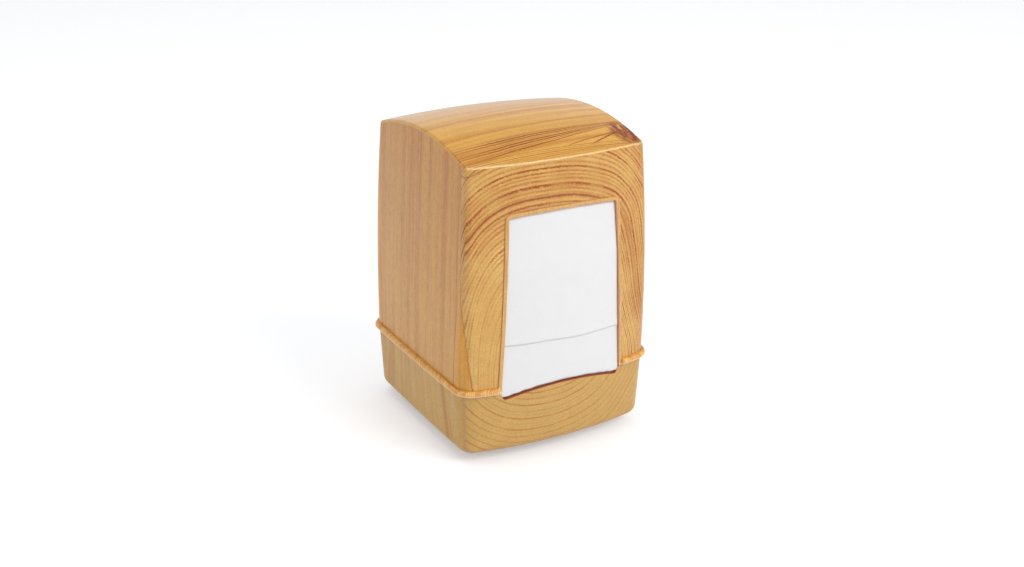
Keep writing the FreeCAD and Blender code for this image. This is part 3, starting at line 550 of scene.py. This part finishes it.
def free_flap_edge(x):
    """The height of the flap's lower edge: it runs level, then slopes up to one side."""
    past = x - FLAP_SLOPE_START
    slope = FLAP_SLOPE / 2 * (math.sqrt(past**2 + FLAP_BEND**2) + past)
    return FLAP_EDGE - FLAP_SAG + slope + 0.15 * math.sin(x / 5.0)


def soft_step(share):
    """From 0 to 1 with a soft start and end, and level outside that."""
    share = min(1.0, max(0.0, share))
    return share * share * (3 - 2 * share)


def window_half(z):
    """Half the window's width at one height, carried on past its ends."""
    return WINDOW_FOOT_HALF - (z - WINDOW_FOOT) * WINDOW_LEAN


def forward(column, x, z):
    """How far the napkin swells out of its flat place, into the window and over the tray's lip."""
    if abs(column) > WINDOW_COLUMNS:
        return 0.0
    lip = LIP_CROWN - LIP_DROP * min(1.0, (abs(x) / LIP_REACH) ** 2)
    over_lip = soft_step((z - lip - 0.3) / 1.1)
    under_head = soft_step((WINDOW_HEAD - 0.15 - HEAD_BOW * x * x - z) / 0.6)
    ripple = 0.06 * math.sin(x / 7.0 + z / 13.0)
    fullness = SWELL + LOW_SWELL * soft_step((LOW_SWELL_TOP - z) / LOW_SWELL_FADE) + ripple
    return fullness * over_lip * under_head


def across_sheet(column, z):
    """Places a column of the sheet: in the window, or behind its sides for the outer ones."""
    edge = window_half(z) - SIDE_GAP
    if abs(column) <= WINDOW_COLUMNS:
        return column / WINDOW_COLUMNS * (edge - SIDE_TURN)
    beyond = (abs(column) - WINDOW_COLUMNS - 1) / (COLUMNS - WINDOW_COLUMNS - 1)
    return math.copysign(edge + beyond * (NAPKIN_WIDTH / 2 - 0.1 - edge), column)


def folded_sheet(way):
    """One napkin folded in three from its flat strip: flap, long leaf, back leaf."""
    front_leaf, middle_leaf, back_leaf = LEAF_DEPTHS
    turn = (middle_leaf - front_leaf) / 2
    leaf = NAPKIN_TOP - NAPKIN_LOW - 2 * turn
    arc = math.pi * turn
    flap_mean = NAPKIN_TOP - FLAP_EDGE - turn
    total = flap_mean + arc + leaf + arc + leaf - BACK_LEAF_SHORT
    form = bmesh.new()
    bmesh.ops.create_grid(form, x_segments=2 * COLUMNS, y_segments=SHEET_ROWS, size=0.5)
    bmesh.ops.scale(form, vec=(2 * COLUMNS, total, 1), verts=form.verts)
    for vert in form.verts:
        column = round(vert.co.x)
        run = vert.co.y + total / 2
        if run <= flap_mean:
            edge = free_flap_edge(column * COLUMN_PITCH)
            z, depth = edge + run / flap_mean * (NAPKIN_TOP - turn - edge), front_leaf
        elif run <= flap_mean + arc:
            angle = (run - flap_mean) / turn
            z = NAPKIN_TOP - turn + turn * math.sin(angle)
            depth = (front_leaf + middle_leaf) / 2 - turn * math.cos(angle)
        elif run <= flap_mean + arc + leaf:
            z, depth = NAPKIN_TOP - turn - (run - flap_mean - arc), middle_leaf
        elif run <= flap_mean + 2 * arc + leaf:
            angle = (run - flap_mean - arc - leaf) / turn
            z = NAPKIN_LOW + turn - turn * math.sin(angle)
            depth = (middle_leaf + back_leaf) / 2 - turn * math.cos(angle)
        else:
            z, depth = NAPKIN_LOW + turn + (run - flap_mean - 2 * arc - leaf), back_leaf
        x = across_sheet(column, z)
        if run <= flap_mean:
            depth -= forward(column, x, z) + FLAP_LIFT * math.exp(-(z - edge) / FLAP_LIFT_REACH)
        elif run <= flap_mean + arc + leaf:
            depth -= forward(column, x, z)
        out = wall_line(z) - bow_at(x) - depth
        vert.co = Vector((x, out, z))
    if way < 0:
        half_turned(form)
    bmesh.ops.recalc_face_normals(form, faces=form.faces)
    return form, total


def napkin_stack(way):
    """Folded napkins on edge, each a thin slab bent to the bow of the wall."""
    random.seed(11)
    form = bmesh.new()
    pitch = STACK_DEPTH / STACK_COUNT
    for number in range(STACK_COUNT):
        slab = bmesh.new()
        bmesh.ops.create_cube(slab, size=1.0)
        full_height = NAPKIN_TOP - NAPKIN_LOW - SLAB_SHORT
        height = full_height - random.random() * SLAB_HEIGHT_SPREAD
        width = NAPKIN_WIDTH - SLAB_NARROW - random.random() * SLAB_WIDTH_SPREAD
        bmesh.ops.scale(slab, vec=(width, pitch * SLAB_FILL, height), verts=slab.verts)
        long_edges = [
            edge for edge in slab.edges if abs(edge.verts[0].co.x - edge.verts[1].co.x) > 1
        ]
        bmesh.ops.bevel(
            slab,
            geom=long_edges,
            offset=pitch * SLAB_ROUNDING,
            offset_type="OFFSET",
            affect="EDGES",
            segments=3,
            profile=0.5,
            material=-1,
        )
        for cut in range(1 - SLAB_PARTS // 2, SLAB_PARTS // 2):
            bmesh.ops.bisect_plane(
                slab,
                geom=[*slab.verts, *slab.edges, *slab.faces],
                dist=1e-5,
                plane_co=(cut * width / SLAB_PARTS, 0, 0),
                plane_no=(1, 0, 0),
            )
        shift = random.uniform(-SLAB_SHIFT, SLAB_SHIFT)
        share = (number + 0.5) / STACK_COUNT
        back = wall_line(WAIST) - STACK_FRONT_GAP - STACK_DEPTH
        for vert in slab.verts:
            z = vert.co.z + NAPKIN_LOW + height / 2 + NAPKIN_CLEARANCE
            x = vert.co.x + shift
            room = wall_line(z) - bow_at(x) - STACK_FRONT_GAP - back
            out = back + room * (1 - share) + vert.co.y * room / STACK_DEPTH
            vert.co = Vector((x, out, z))
        mesh = bpy.data.meshes.new("slab")
        slab.to_mesh(mesh)
        slab.free()
        form.from_mesh(mesh)
        bpy.data.meshes.remove(mesh)
    if way < 0:
        half_turned(form)
    return form


for side, way in (("front", -1), ("rear", 1)):
    form, length = folded_sheet(way)
    sheet = finished_piece(f"{side}_folded_napkin", form, napkin_finish)
    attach(sheet, f"{side}_feed")
    wall = sheet.modifiers.new("leaf", "SOLIDIFY")
    wall.thickness = LEAF_THICKNESS * MM
    wall.offset = 0.0
    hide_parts(f"{side}_top_napkin")
    length * MM
    name = f"{side}_stacked_napkins"
    stack = finished_piece(name, napkin_stack(way), napkin_finish, smooth=False)
    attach(stack, f"{side}_feed")
    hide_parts(f"{side}_napkin_stack")


# ---- Cover ----
# The lift-off shell: one plastic moulding printed with pine grain, with a raised frame round
# each window and a half-round bead along its lower edge. Its inside is left plain, and it rests
# on the tray's rim round the collar.

# Outline above the seam: how the walls lean and belly, and how the roof arches
SIDE_SLOPE = 0.0289
SIDE_BELLY = 0.000195
FRONT_SLOPE = 0.0033
FRONT_BELLY = 0.000623
ROOF_RADIUS = 146.5
ROOF_CENTRE = cover_high[2] - ROOF_RADIUS
ROOF_BOW = 530.0
CORNER_RUN = 98.6
BEAD_TOP = 40.1

# Front and rear print
ARCH_FOOT = 23.8
ARCH_OFFSET = 7.8
ARCH_LEAN = 0.058
ARCH_RISE = 0.52
ARCH_POWER = 2.85
ARCH_LINE_COUNT = 0.95
FIRST_DARK = 54.6
SECOND_DARK = 53.1
RIGHT_DARKS = ((53.2, 0.45, 0.8), (55.9, 0.45, 0.8), (51.9, 0.35, 0.6))
CRACK_KNEE = 85.0
CRACK_SLANT = 0.19
CRACK_PLACE = -4.7
NICK_HEIGHT = 141.2
NICK_START = -47.0
NICK_SLOPE = 0.42

# Golden strip on the sides
STRIP_FOOT = 40.0
STRIP_INNER = 39.4
STRIP_OUTER = 45.6

# Top print
TOP_LEFT = -46.0
TOP_FRONT = -47.2
BUNDLE_LOW = -44.5
BUNDLE_WIDTH = 13.5
BUNDLE_LINE_COUNT = 7.6
WISP_START = (20.0, -44.3)
SECOND_WISP_START = (6.0, -43.6)
KNOT_X = 41.5
KNOT_Y = -37.5
SPRAY_X = 43.0
SPRAY_Y = -54.0

# Colours
COVER_FACE = (231, 186, 106)
COVER_FACE_DEEP = (216, 160, 80)
COVER_FACE_LINE = (160, 72, 10)
COVER_SIDE = (226, 171, 82)
COVER_SIDE_STREAK = (190, 112, 22)
COVER_TOP = (222, 168, 76)
COVER_TOP_DEEP = (198, 132, 48)
COVER_TOP_LINE = (140, 54, 2)
COVER_TOP_REAR_SHEEN = (206, 158, 106)
COVER_TOP_BROWN = (176, 112, 66)
COVER_EDGE_HIGHLIGHT = (250, 218, 164)
KNOT_DARK = (134, 54, 8)
CRACK = (168, 86, 30)
NICK = (160, 78, 20)
FRAME = (224, 176, 104)
FRAME_GRAIN = (184, 122, 60)
FRAME_SHADE_LINE = (170, 102, 46)
HEAD_SHADE_LINE = (178, 112, 52)
GOLD_STRIP = (230, 163, 56)
GOLD_STRIP_STREAK = (190, 122, 54)
GOLD_STRIP_LINE = (190, 98, 22)
BEAD = (248, 196, 112)
BEAD_TICK = (206, 130, 54)
BEAD_EDGE_HIGHLIGHT = (246, 214, 174)
ROOF_EDGE = (232, 172, 84)
REVEAL_LIGHTENED = (222, 168, 130)


def strongest(*marks):
    """The strongest of several marks at each place."""
    most = marks[0]
    for mark in marks[1:]:
        most = most.math("MAXIMUM", mark)
    return most


cover_finish, shader, place = new_finish("wood_print_cover", 0.36)
shader.inputs["Specular IOR Level"].default_value = 0.3
shader.inputs["Coat Weight"].default_value = 0.3
shader.inputs["Coat Roughness"].default_value = 0.14
x, y, z, facing = bearings(place)
up = facing.other(2)
ahead = abs(facing.other(1))
way = (0.0 - y).math("SIGN")
across = x * way
drift = place.cloud(15.0, 2.0) - 0.5
fray = place.cloud(0.8, 2.0) - 0.5

# Front and rear: arched year lines, nested about a low middle
round_corner = (y * way - TOP_FRONT).math("MAXIMUM", 0.0) * z.rise(152.0, 146.0)
lean = abs(across + ARCH_OFFSET + (z - 100.0) * ARCH_LEAN + drift) + round_corner * 1.3
right = across.rise(8.0, 30.0)
lean = lean + right * (z.ridge(76.0, 40.0) * 4.6 - z.rise(98.0, 126.0) * 3.6)
climb = ((z - ARCH_FOOT) * ARCH_RISE).math("MAXIMUM", 0.1)
arch = (lean**ARCH_POWER + climb**ARCH_POWER) ** (1 / ARCH_POWER) + fray * 0.55
step = arch * ARCH_LINE_COUNT + (arch.joined(3.0, 0.0).cloud(3.0) - 0.5) * 1.6
rings = year_lines(step, 0.44)
thin = year_lines(step * 0.47 + drift * 0.6, 0.26)
first_dark = arch.ridge(FIRST_DARK, 0.62) * (1.0 - across.rise(10.0, 26.0) * 0.25)
second_dark = arch.ridge(SECOND_DARK, 0.45) * across.rise(2.0, -14.0) * 0.85
right_lines = strongest(*[arch.ridge(at, reach) * share for at, reach, share in RIGHT_DARKS])
right_lines = right_lines * across.rise(26.0, 33.0) * (place.cloud(7.0).rise(0.2, 0.6) * 0.5 + 0.5)
patch = place.cloud(9.0, 2.0).rise(0.25, 0.7)
dotted = place.cloud(0.8, 1.0).rise(0.25, 0.55) * 0.5 + 0.5
high_up = arch.rise(36.0, 50.0) * 0.5 + 0.5
calm = 1.0 - across.rise(-22.0, -36.0) * z.rise(112.0, 98.0) * 0.3
face_mark = (rings * 1.15 + thin * 0.5) * (patch * 0.65 + 0.45) * high_up * dotted * calm
face_mark = strongest(face_mark, first_dark, second_dark, right_lines * 0.85)
tone = place.cloud(16.0, 3.0).rise(0.3, 0.7) * 0.6 + arch.rise(46.0, 56.0) * 0.4
face_plain = tone.blend(tint(COVER_FACE), tint(COVER_FACE_DEEP))
face_colour = face_mark.math("MINIMUM", 1.0).blend(face_plain, tint(COVER_FACE_LINE))

# A jagged dark line runs down the corner from the side to the front, with a nick near its top
corner = across - y * way
slant = (CRACK_KNEE - z).math("MAXIMUM", 0.0) * CRACK_SLANT + CRACK_PLACE
wander = (z.joined(0.0, 5.0).cloud(3.4, 3.0) - 0.5) * 2.0
crack = (corner - slant + wander).ridge(0.0, 1.0) * z.rise(146.0, 120.0) * 0.85
upper_crack = 1.0 - z.rise(84.0, 96.0) * 0.45
crack_shown = crack * upper_crack * across.rise(-40.0, -43.0)
face_colour = crack_shown.blend(face_colour, tint(CRACK))
nick = z - NICK_HEIGHT - (across - NICK_START) * NICK_SLOPE
nick = nick.ridge(0.0, 0.6) * across.rise(-34.0, -39.0)
face_colour = (nick * 0.75).blend(face_colour, tint(NICK))

# Raised frame round the window, with painted shade along its outer step at the left and the head
head = z - WINDOW_HEAD + x * x * HEAD_BOW
past = (abs(x) - window_half(z)).math("MAXIMUM", head)
frame_grain = abs(x).joined(0.0, z * 0.05).cloud(0.9, 2.0).rise(0.4, 0.7) * 0.5
frame_colour = frame_grain.blend(tint(FRAME), tint(FRAME_GRAIN))
face_colour = past.rise(2.0, 1.5).blend(face_colour, frame_colour)
# Painted shade: dark lines just outside the frame's step, at its left side and along its head
left_rim_shade = past.ridge(1.7, 0.4) * across.rise(-27.0, -29.0) * 0.35
face_colour = left_rim_shade.blend(face_colour, tint(FRAME_SHADE_LINE))
head_rim_shade = head.ridge(1.9, 0.4) * abs(x).rise(30.0, 27.0) * 0.35
face_colour = head_rim_shade.blend(face_colour, tint(HEAD_SHADE_LINE))

# Sides: soft upright streaks, darker towards the top
upright = y.joined(x * 0.1, z * 0.010)
broad = upright.cloud(6.0, 3.0, 0.7).rise(0.46, 0.72)
fine = y.joined(4.0, z * 0.016).cloud(1.0, 2.0).rise(0.40, 0.75)
fibre = y.joined(x, z * 0.15).cloud(0.5, 2.0).rise(0.3, 0.7)
middle_streak = (y + 2.0).ridge(0.0, 2.4) * 0.35
streak = broad * 0.42 + fine * 0.34 + fibre * 0.30 + middle_streak + z.rise(60.0, 150.0) * 0.22
side_colour = streak.math("MINIMUM", 1.0).blend(tint(COVER_SIDE), tint(COVER_SIDE_STREAK))

# A golden strip of fine streaks between the side print and the front print
low = z - STRIP_FOOT
limit = (low * 0.025 + low * low * 0.00064 + STRIP_INNER).math("MINIMUM", STRIP_OUTER)
strip = (abs(y) - limit).rise(-0.3, 0.3)
strip_streak = y.joined(9.0, z * 0.02).cloud(0.8, 2.0).rise(0.35, 0.75) * 0.5
strip_colour = strip_streak.blend(tint(GOLD_STRIP), tint(GOLD_STRIP_STREAK))
side_colour = strip.blend(side_colour, strip_colour)
strip_line = (abs(y) - limit - low * 0.004).ridge(0.6, 0.8) * z.rise(104.0, 70.0) * 0.85
side_colour = strip_line.blend(side_colour, tint(GOLD_STRIP_LINE))
on_front = strongest((corner - slant + wander).rise(-0.3, 0.3), ahead.rise(0.75, 0.9))
far_side = across.rise(0.0, 1.0)
on_front = far_side * abs(facing).rise(0.85, 0.65) + (1.0 - far_side) * on_front
wood = on_front.blend(side_colour, face_colour)

# Top: straight grain from left to right, a bundle of dark lines rising to a knot near one corner
run = x - TOP_LEFT
low_line = run * 0.052 + run * run * 0.0014 + BUNDLE_LOW
spread = BUNDLE_WIDTH - run * run * 0.00136
rank = (y - low_line) / spread
bundle_step = rank * BUNDLE_LINE_COUNT + drift * 0.9 + fray * 0.35
bundle = year_lines(bundle_step, 0.42) * rank.rise(-0.06, 0.02) * rank.rise(1.10, 0.90)
bundle = bundle * (x.rise(TOP_LEFT, -12.0) + 0.55)
edge_step = (y - TOP_FRONT - run * 0.002) * 0.8 + fray * 0.3
edge_lines = year_lines(edge_step, 0.36) * y.rise(-42.5, -45.0)
wisp_line = (x - WISP_START[0]) * 0.45 + WISP_START[1]
wisp = (y - wisp_line + fray * 0.9).ridge(0.0, 0.8) * x.rise(16.0, 24.0) * x.rise(42.0, 38.0)
second_line = (x - SECOND_WISP_START[0]) * 0.24 + SECOND_WISP_START[1]
second_wisp = (y - second_line + fray * 0.8).ridge(0.0, 0.6) * x.rise(2.0, 12.0) * 0.8
along = (x * 0.022).joined(y - x * 0.07 + drift * 0.8, 0.0)
soft = along.cloud(6.0, 3.0, 0.6).rise(0.40, 0.66)
brown = (y - x * 0.11 - 3.3).ridge(0.0, 2.4)
# Painted sheen: towards the rear the roof turns less golden and pinker, as the white room's
# reflection
rear = y.rise(-2.0, 16.0)
top_plain = (soft * 0.9).blend(tint(COVER_TOP), tint(COVER_TOP_DEEP))
top_plain = (rear * 0.55).blend(top_plain, tint(COVER_TOP_REAR_SHEEN))
top_plain = (brown * 0.35).blend(top_plain, tint(COVER_TOP_BROWN))
lines = strongest(bundle, edge_lines, wisp, second_wisp)

# The knot: short dark strokes that fan out
knot_x = x - KNOT_X
knot_y = y - KNOT_Y
reach = (knot_x * knot_x * 1.1 + knot_y * knot_y * 0.5) ** 0.5
spray = (x - SPRAY_X) / (y - SPRAY_Y).math("MAXIMUM", 1.0) * 16.0
stroke = spray.joined(y * 0.14, 2.0).cloud(0.8, 3.0, 0.6).rise(0.38, 0.50)
knot = reach.rise(9.5, 4.0) * (stroke * 0.95 + 0.12)
top_colour = lines.math("MINIMUM", 1.0).blend(top_plain, tint(COVER_TOP_LINE))
top_colour = knot.math("MINIMUM", 1.0).blend(top_colour, tint(KNOT_DARK))
wood = up.rise(0.25, 0.45).blend(wood, top_colour)
# Painted highlight: a pale line along the roof's rounded front and rear edges
painted_edge_highlight = up.rise(0.30, 0.50) * up.rise(0.92, 0.78) * ahead.rise(0.3, 0.5)
wood = (painted_edge_highlight * 0.6).blend(wood, tint(COVER_EDGE_HIGHLIGHT))

# Bead round the rim: ochre with cross ticks, and a painted highlight along its lower edge
bow = FACE_BOW - (FACE_BOW**2 - x * x).math("SQRT")
past_side = abs(x) - (SEAM_HALF_WIDTH + 0.15)
past_front = abs(y) - (SEAM_HALF_DEPTH + 0.15 - bow)
outside = strongest(past_side, past_front, abs(x) + abs(y) - CORNER_RUN)
bead = outside.rise(-0.1, 0.2) * z.rise(BEAD_TOP + 0.2, BEAD_TOP - 0.2)
girth = x - y * x.math("SIGN") * y.math("SIGN")
tick = girth.joined(z * 0.1, 7.0)
tick = tick.cloud(0.6, 1.0).rise(0.36, 0.62) * 0.7 + tick.cloud(7.0, 2.0).rise(0.60, 0.66) * 0.3
bead_colour = tick.blend(tint(BEAD), tint(BEAD_TICK))
# Painted highlight: a pale line along the bead's lower edge
bead_colour = z.rise(SEAM + 1.4, SEAM + 0.7).blend(bead_colour, tint(BEAD_EDGE_HIGHLIGHT))
wood = bead.blend(wood, bead_colour)

# The roof's edge has a golden line, the inside is unprinted, and the window's bare cut edge is
# lightened
belly = (z - SEAM) * (z - WAIST)
half_width = SEAM_HALF_WIDTH - (z - SEAM) * SIDE_SLOPE - belly * SIDE_BELLY
half_depth = SEAM_HALF_DEPTH - (z - SEAM) * FRONT_SLOPE - belly * FRONT_BELLY
over_centre = z - ROOF_CENTRE
sideways_bow = ROOF_BOW - (ROOF_BOW**2 - x * x).math("SQRT")
roof = (over_centre * over_centre + y * y).math("SQRT") + sideways_bow
depth = wall_depth(x, y, half_width, half_depth).math("MINIMUM", ROOF_RADIUS - roof)
roof_edge = roof.rise(ROOF_RADIUS - 1.6, ROOF_RADIUS - 1.0)
roof_edge = roof_edge * up.rise(0.5, 0.3) * abs(facing).rise(0.3, 0.6)
wood = (roof_edge * 0.8).blend(wood, tint(ROOF_EDGE))
colour = depth.rise(*PRINT_FADE).blend(wood, tint(PLAIN_TAN))
in_window = past.rise(0.5, 0.2) * z.rise(SEAM - 0.5, SEAM + 1.5)
in_window = in_window * z.rise(WINDOW_HEAD + 1.4, WINDOW_HEAD + 0.4)
# Painted light: the cut edge is bare moulding, painted lighter and pinker than the plain inside
# against its shade
lightened_reveal = in_window * ahead.rise(0.6, 0.4)
colour = lightened_reveal.blend(colour, tint(REVEAL_LIGHTENED))
print_film(place, colour, shader, 0.30)
dress("cover", cover_finish)


# ---- Table and light ----
# A plain white table in an even white room, with two soft panel lamps: a key lamp from the
# front right and a weaker one from above.

TABLE_HALF = 3.0
TABLE_WHITE = (0.78, 0.80, 0.82, 1)
TABLE_GLOW = (0.36, 0.36, 0.36, 1)
NO_GLOW = (0, 0, 0, 1)
ROOM_WHITE = (1, 1, 1, 1)
ROOM_LIGHT = (0.62, 0.62, 0.63, 1)
CEILING_DARK = (0.28, 0.28, 0.29, 1)

floor_form = bmesh.new()
bmesh.ops.create_grid(floor_form, x_segments=1, y_segments=1, size=TABLE_HALF)
floor_mesh = bpy.data.meshes.new("table")
floor_form.to_mesh(floor_mesh)
floor_form.free()
floor = bpy.data.objects.new("table", floor_mesh)
bpy.context.scene.collection.objects.link(floor)
floor_finish, shader, place = new_finish("white_table", 0.6)
shader.inputs["Base Color"].default_value = TABLE_WHITE
shader.inputs["Specular IOR Level"].default_value = 0.1

# The table glows a little where the camera, a reflection or a clear foot shows it. That glow
# lights nothing.
seen = place.node("ShaderNodeLightPath", {}, {})
direct = strongest(seen, seen.other("Is Glossy Ray"), seen.other("Is Transmission Ray"))
feed(direct.blend(NO_GLOW, TABLE_GLOW), shader, "Emission Color")
shader.inputs["Emission Strength"].default_value = 1.0
floor_mesh.materials.append(floor_finish)

# The room is white to the camera and lights the object evenly. Where it is mirrored, its ceiling
# is darker.
world = bpy.data.worlds.new("studio")
bpy.context.scene.world = world
world.use_nodes = True
sky = world.node_tree.nodes["Background"]
start = Wire(world.node_tree, sky.outputs[0])
seen = start.node("ShaderNodeLightPath", {}, {})
mirrored = strongest(seen.other("Is Glossy Ray"), seen.other("Is Transmission Ray"))
heading = start.node("ShaderNodeTexCoord", {}, {}, "Generated")
height = heading.node("ShaderNodeSeparateXYZ", {}, {0: heading}).other(2)
backdrop = height.rise(0.20, 0.62).blend(ROOM_WHITE, CEILING_DARK)
room = mirrored.blend(ROOM_LIGHT, backdrop)
feed(seen.blend(room, ROOM_WHITE), sky, "Color")


def lamp(name, place, aim, size, power):
    """A soft panel lamp that shines at one point. Places and sizes are in metres."""
    data = bpy.data.lights.new(name, "AREA")
    data.shape = "RECTANGLE"
    data.size, data.size_y = size
    data.energy = power
    light = bpy.data.objects.new(name, data)
    light.location = place
    light.rotation_euler = (Vector(aim) - Vector(place)).to_track_quat("-Z", "Y").to_euler()
    bpy.context.scene.collection.objects.link(light)


lamp("key", place=(0.55, -1.15, 1.1), aim=(0, 0, 0.08), size=(0.9, 0.7), power=11)
lamp("top", place=(-0.1, 0.25, 1.4), aim=(0, 0, 0.1), size=(1.0, 0.8), power=4)


# ---- Camera ----
# It looks from the front left and a little from above. Its angles are in radians, its places in
# metres, and its focal length and centre in pixels of a picture of the given size.

AZIMUTH = -0.5094
HEIGHT = 0.3616
ROLL = -0.005957
REACH = 0.6750076
AIM = Vector((0, 0, 0.080))
SENSOR = 36.0
PICTURE_WIDTH = 1024
PICTURE_HEIGHT = 567
FOCAL_PIXELS = 1361.664
CENTRE_ACROSS = 507.706
CENTRE_DOWN = 258.686

camera_data = bpy.data.cameras.new("camera")
camera_data.sensor_width = SENSOR
camera_data.lens = SENSOR * FOCAL_PIXELS / PICTURE_WIDTH
camera_data.shift_x = (PICTURE_WIDTH / 2 - CENTRE_ACROSS) / PICTURE_WIDTH
camera_data.shift_y = (CENTRE_DOWN - PICTURE_HEIGHT / 2) / PICTURE_WIDTH
camera = bpy.data.objects.new("camera", camera_data)
level = math.cos(HEIGHT)
direction = Vector((math.sin(AZIMUTH) * level, -math.cos(AZIMUTH) * level, math.sin(HEIGHT)))
place = AIM + REACH * direction
look = (AIM - place).to_track_quat("-Z", "Y").to_matrix().to_4x4()
camera.matrix_world = Matrix.Translation(place) @ look @ Matrix.Rotation(-ROLL, 4, "Z")
bpy.context.scene.collection.objects.link(camera)
bpy.context.scene.camera = camera
bpy.context.scene.view_settings.view_transform = "Standard"
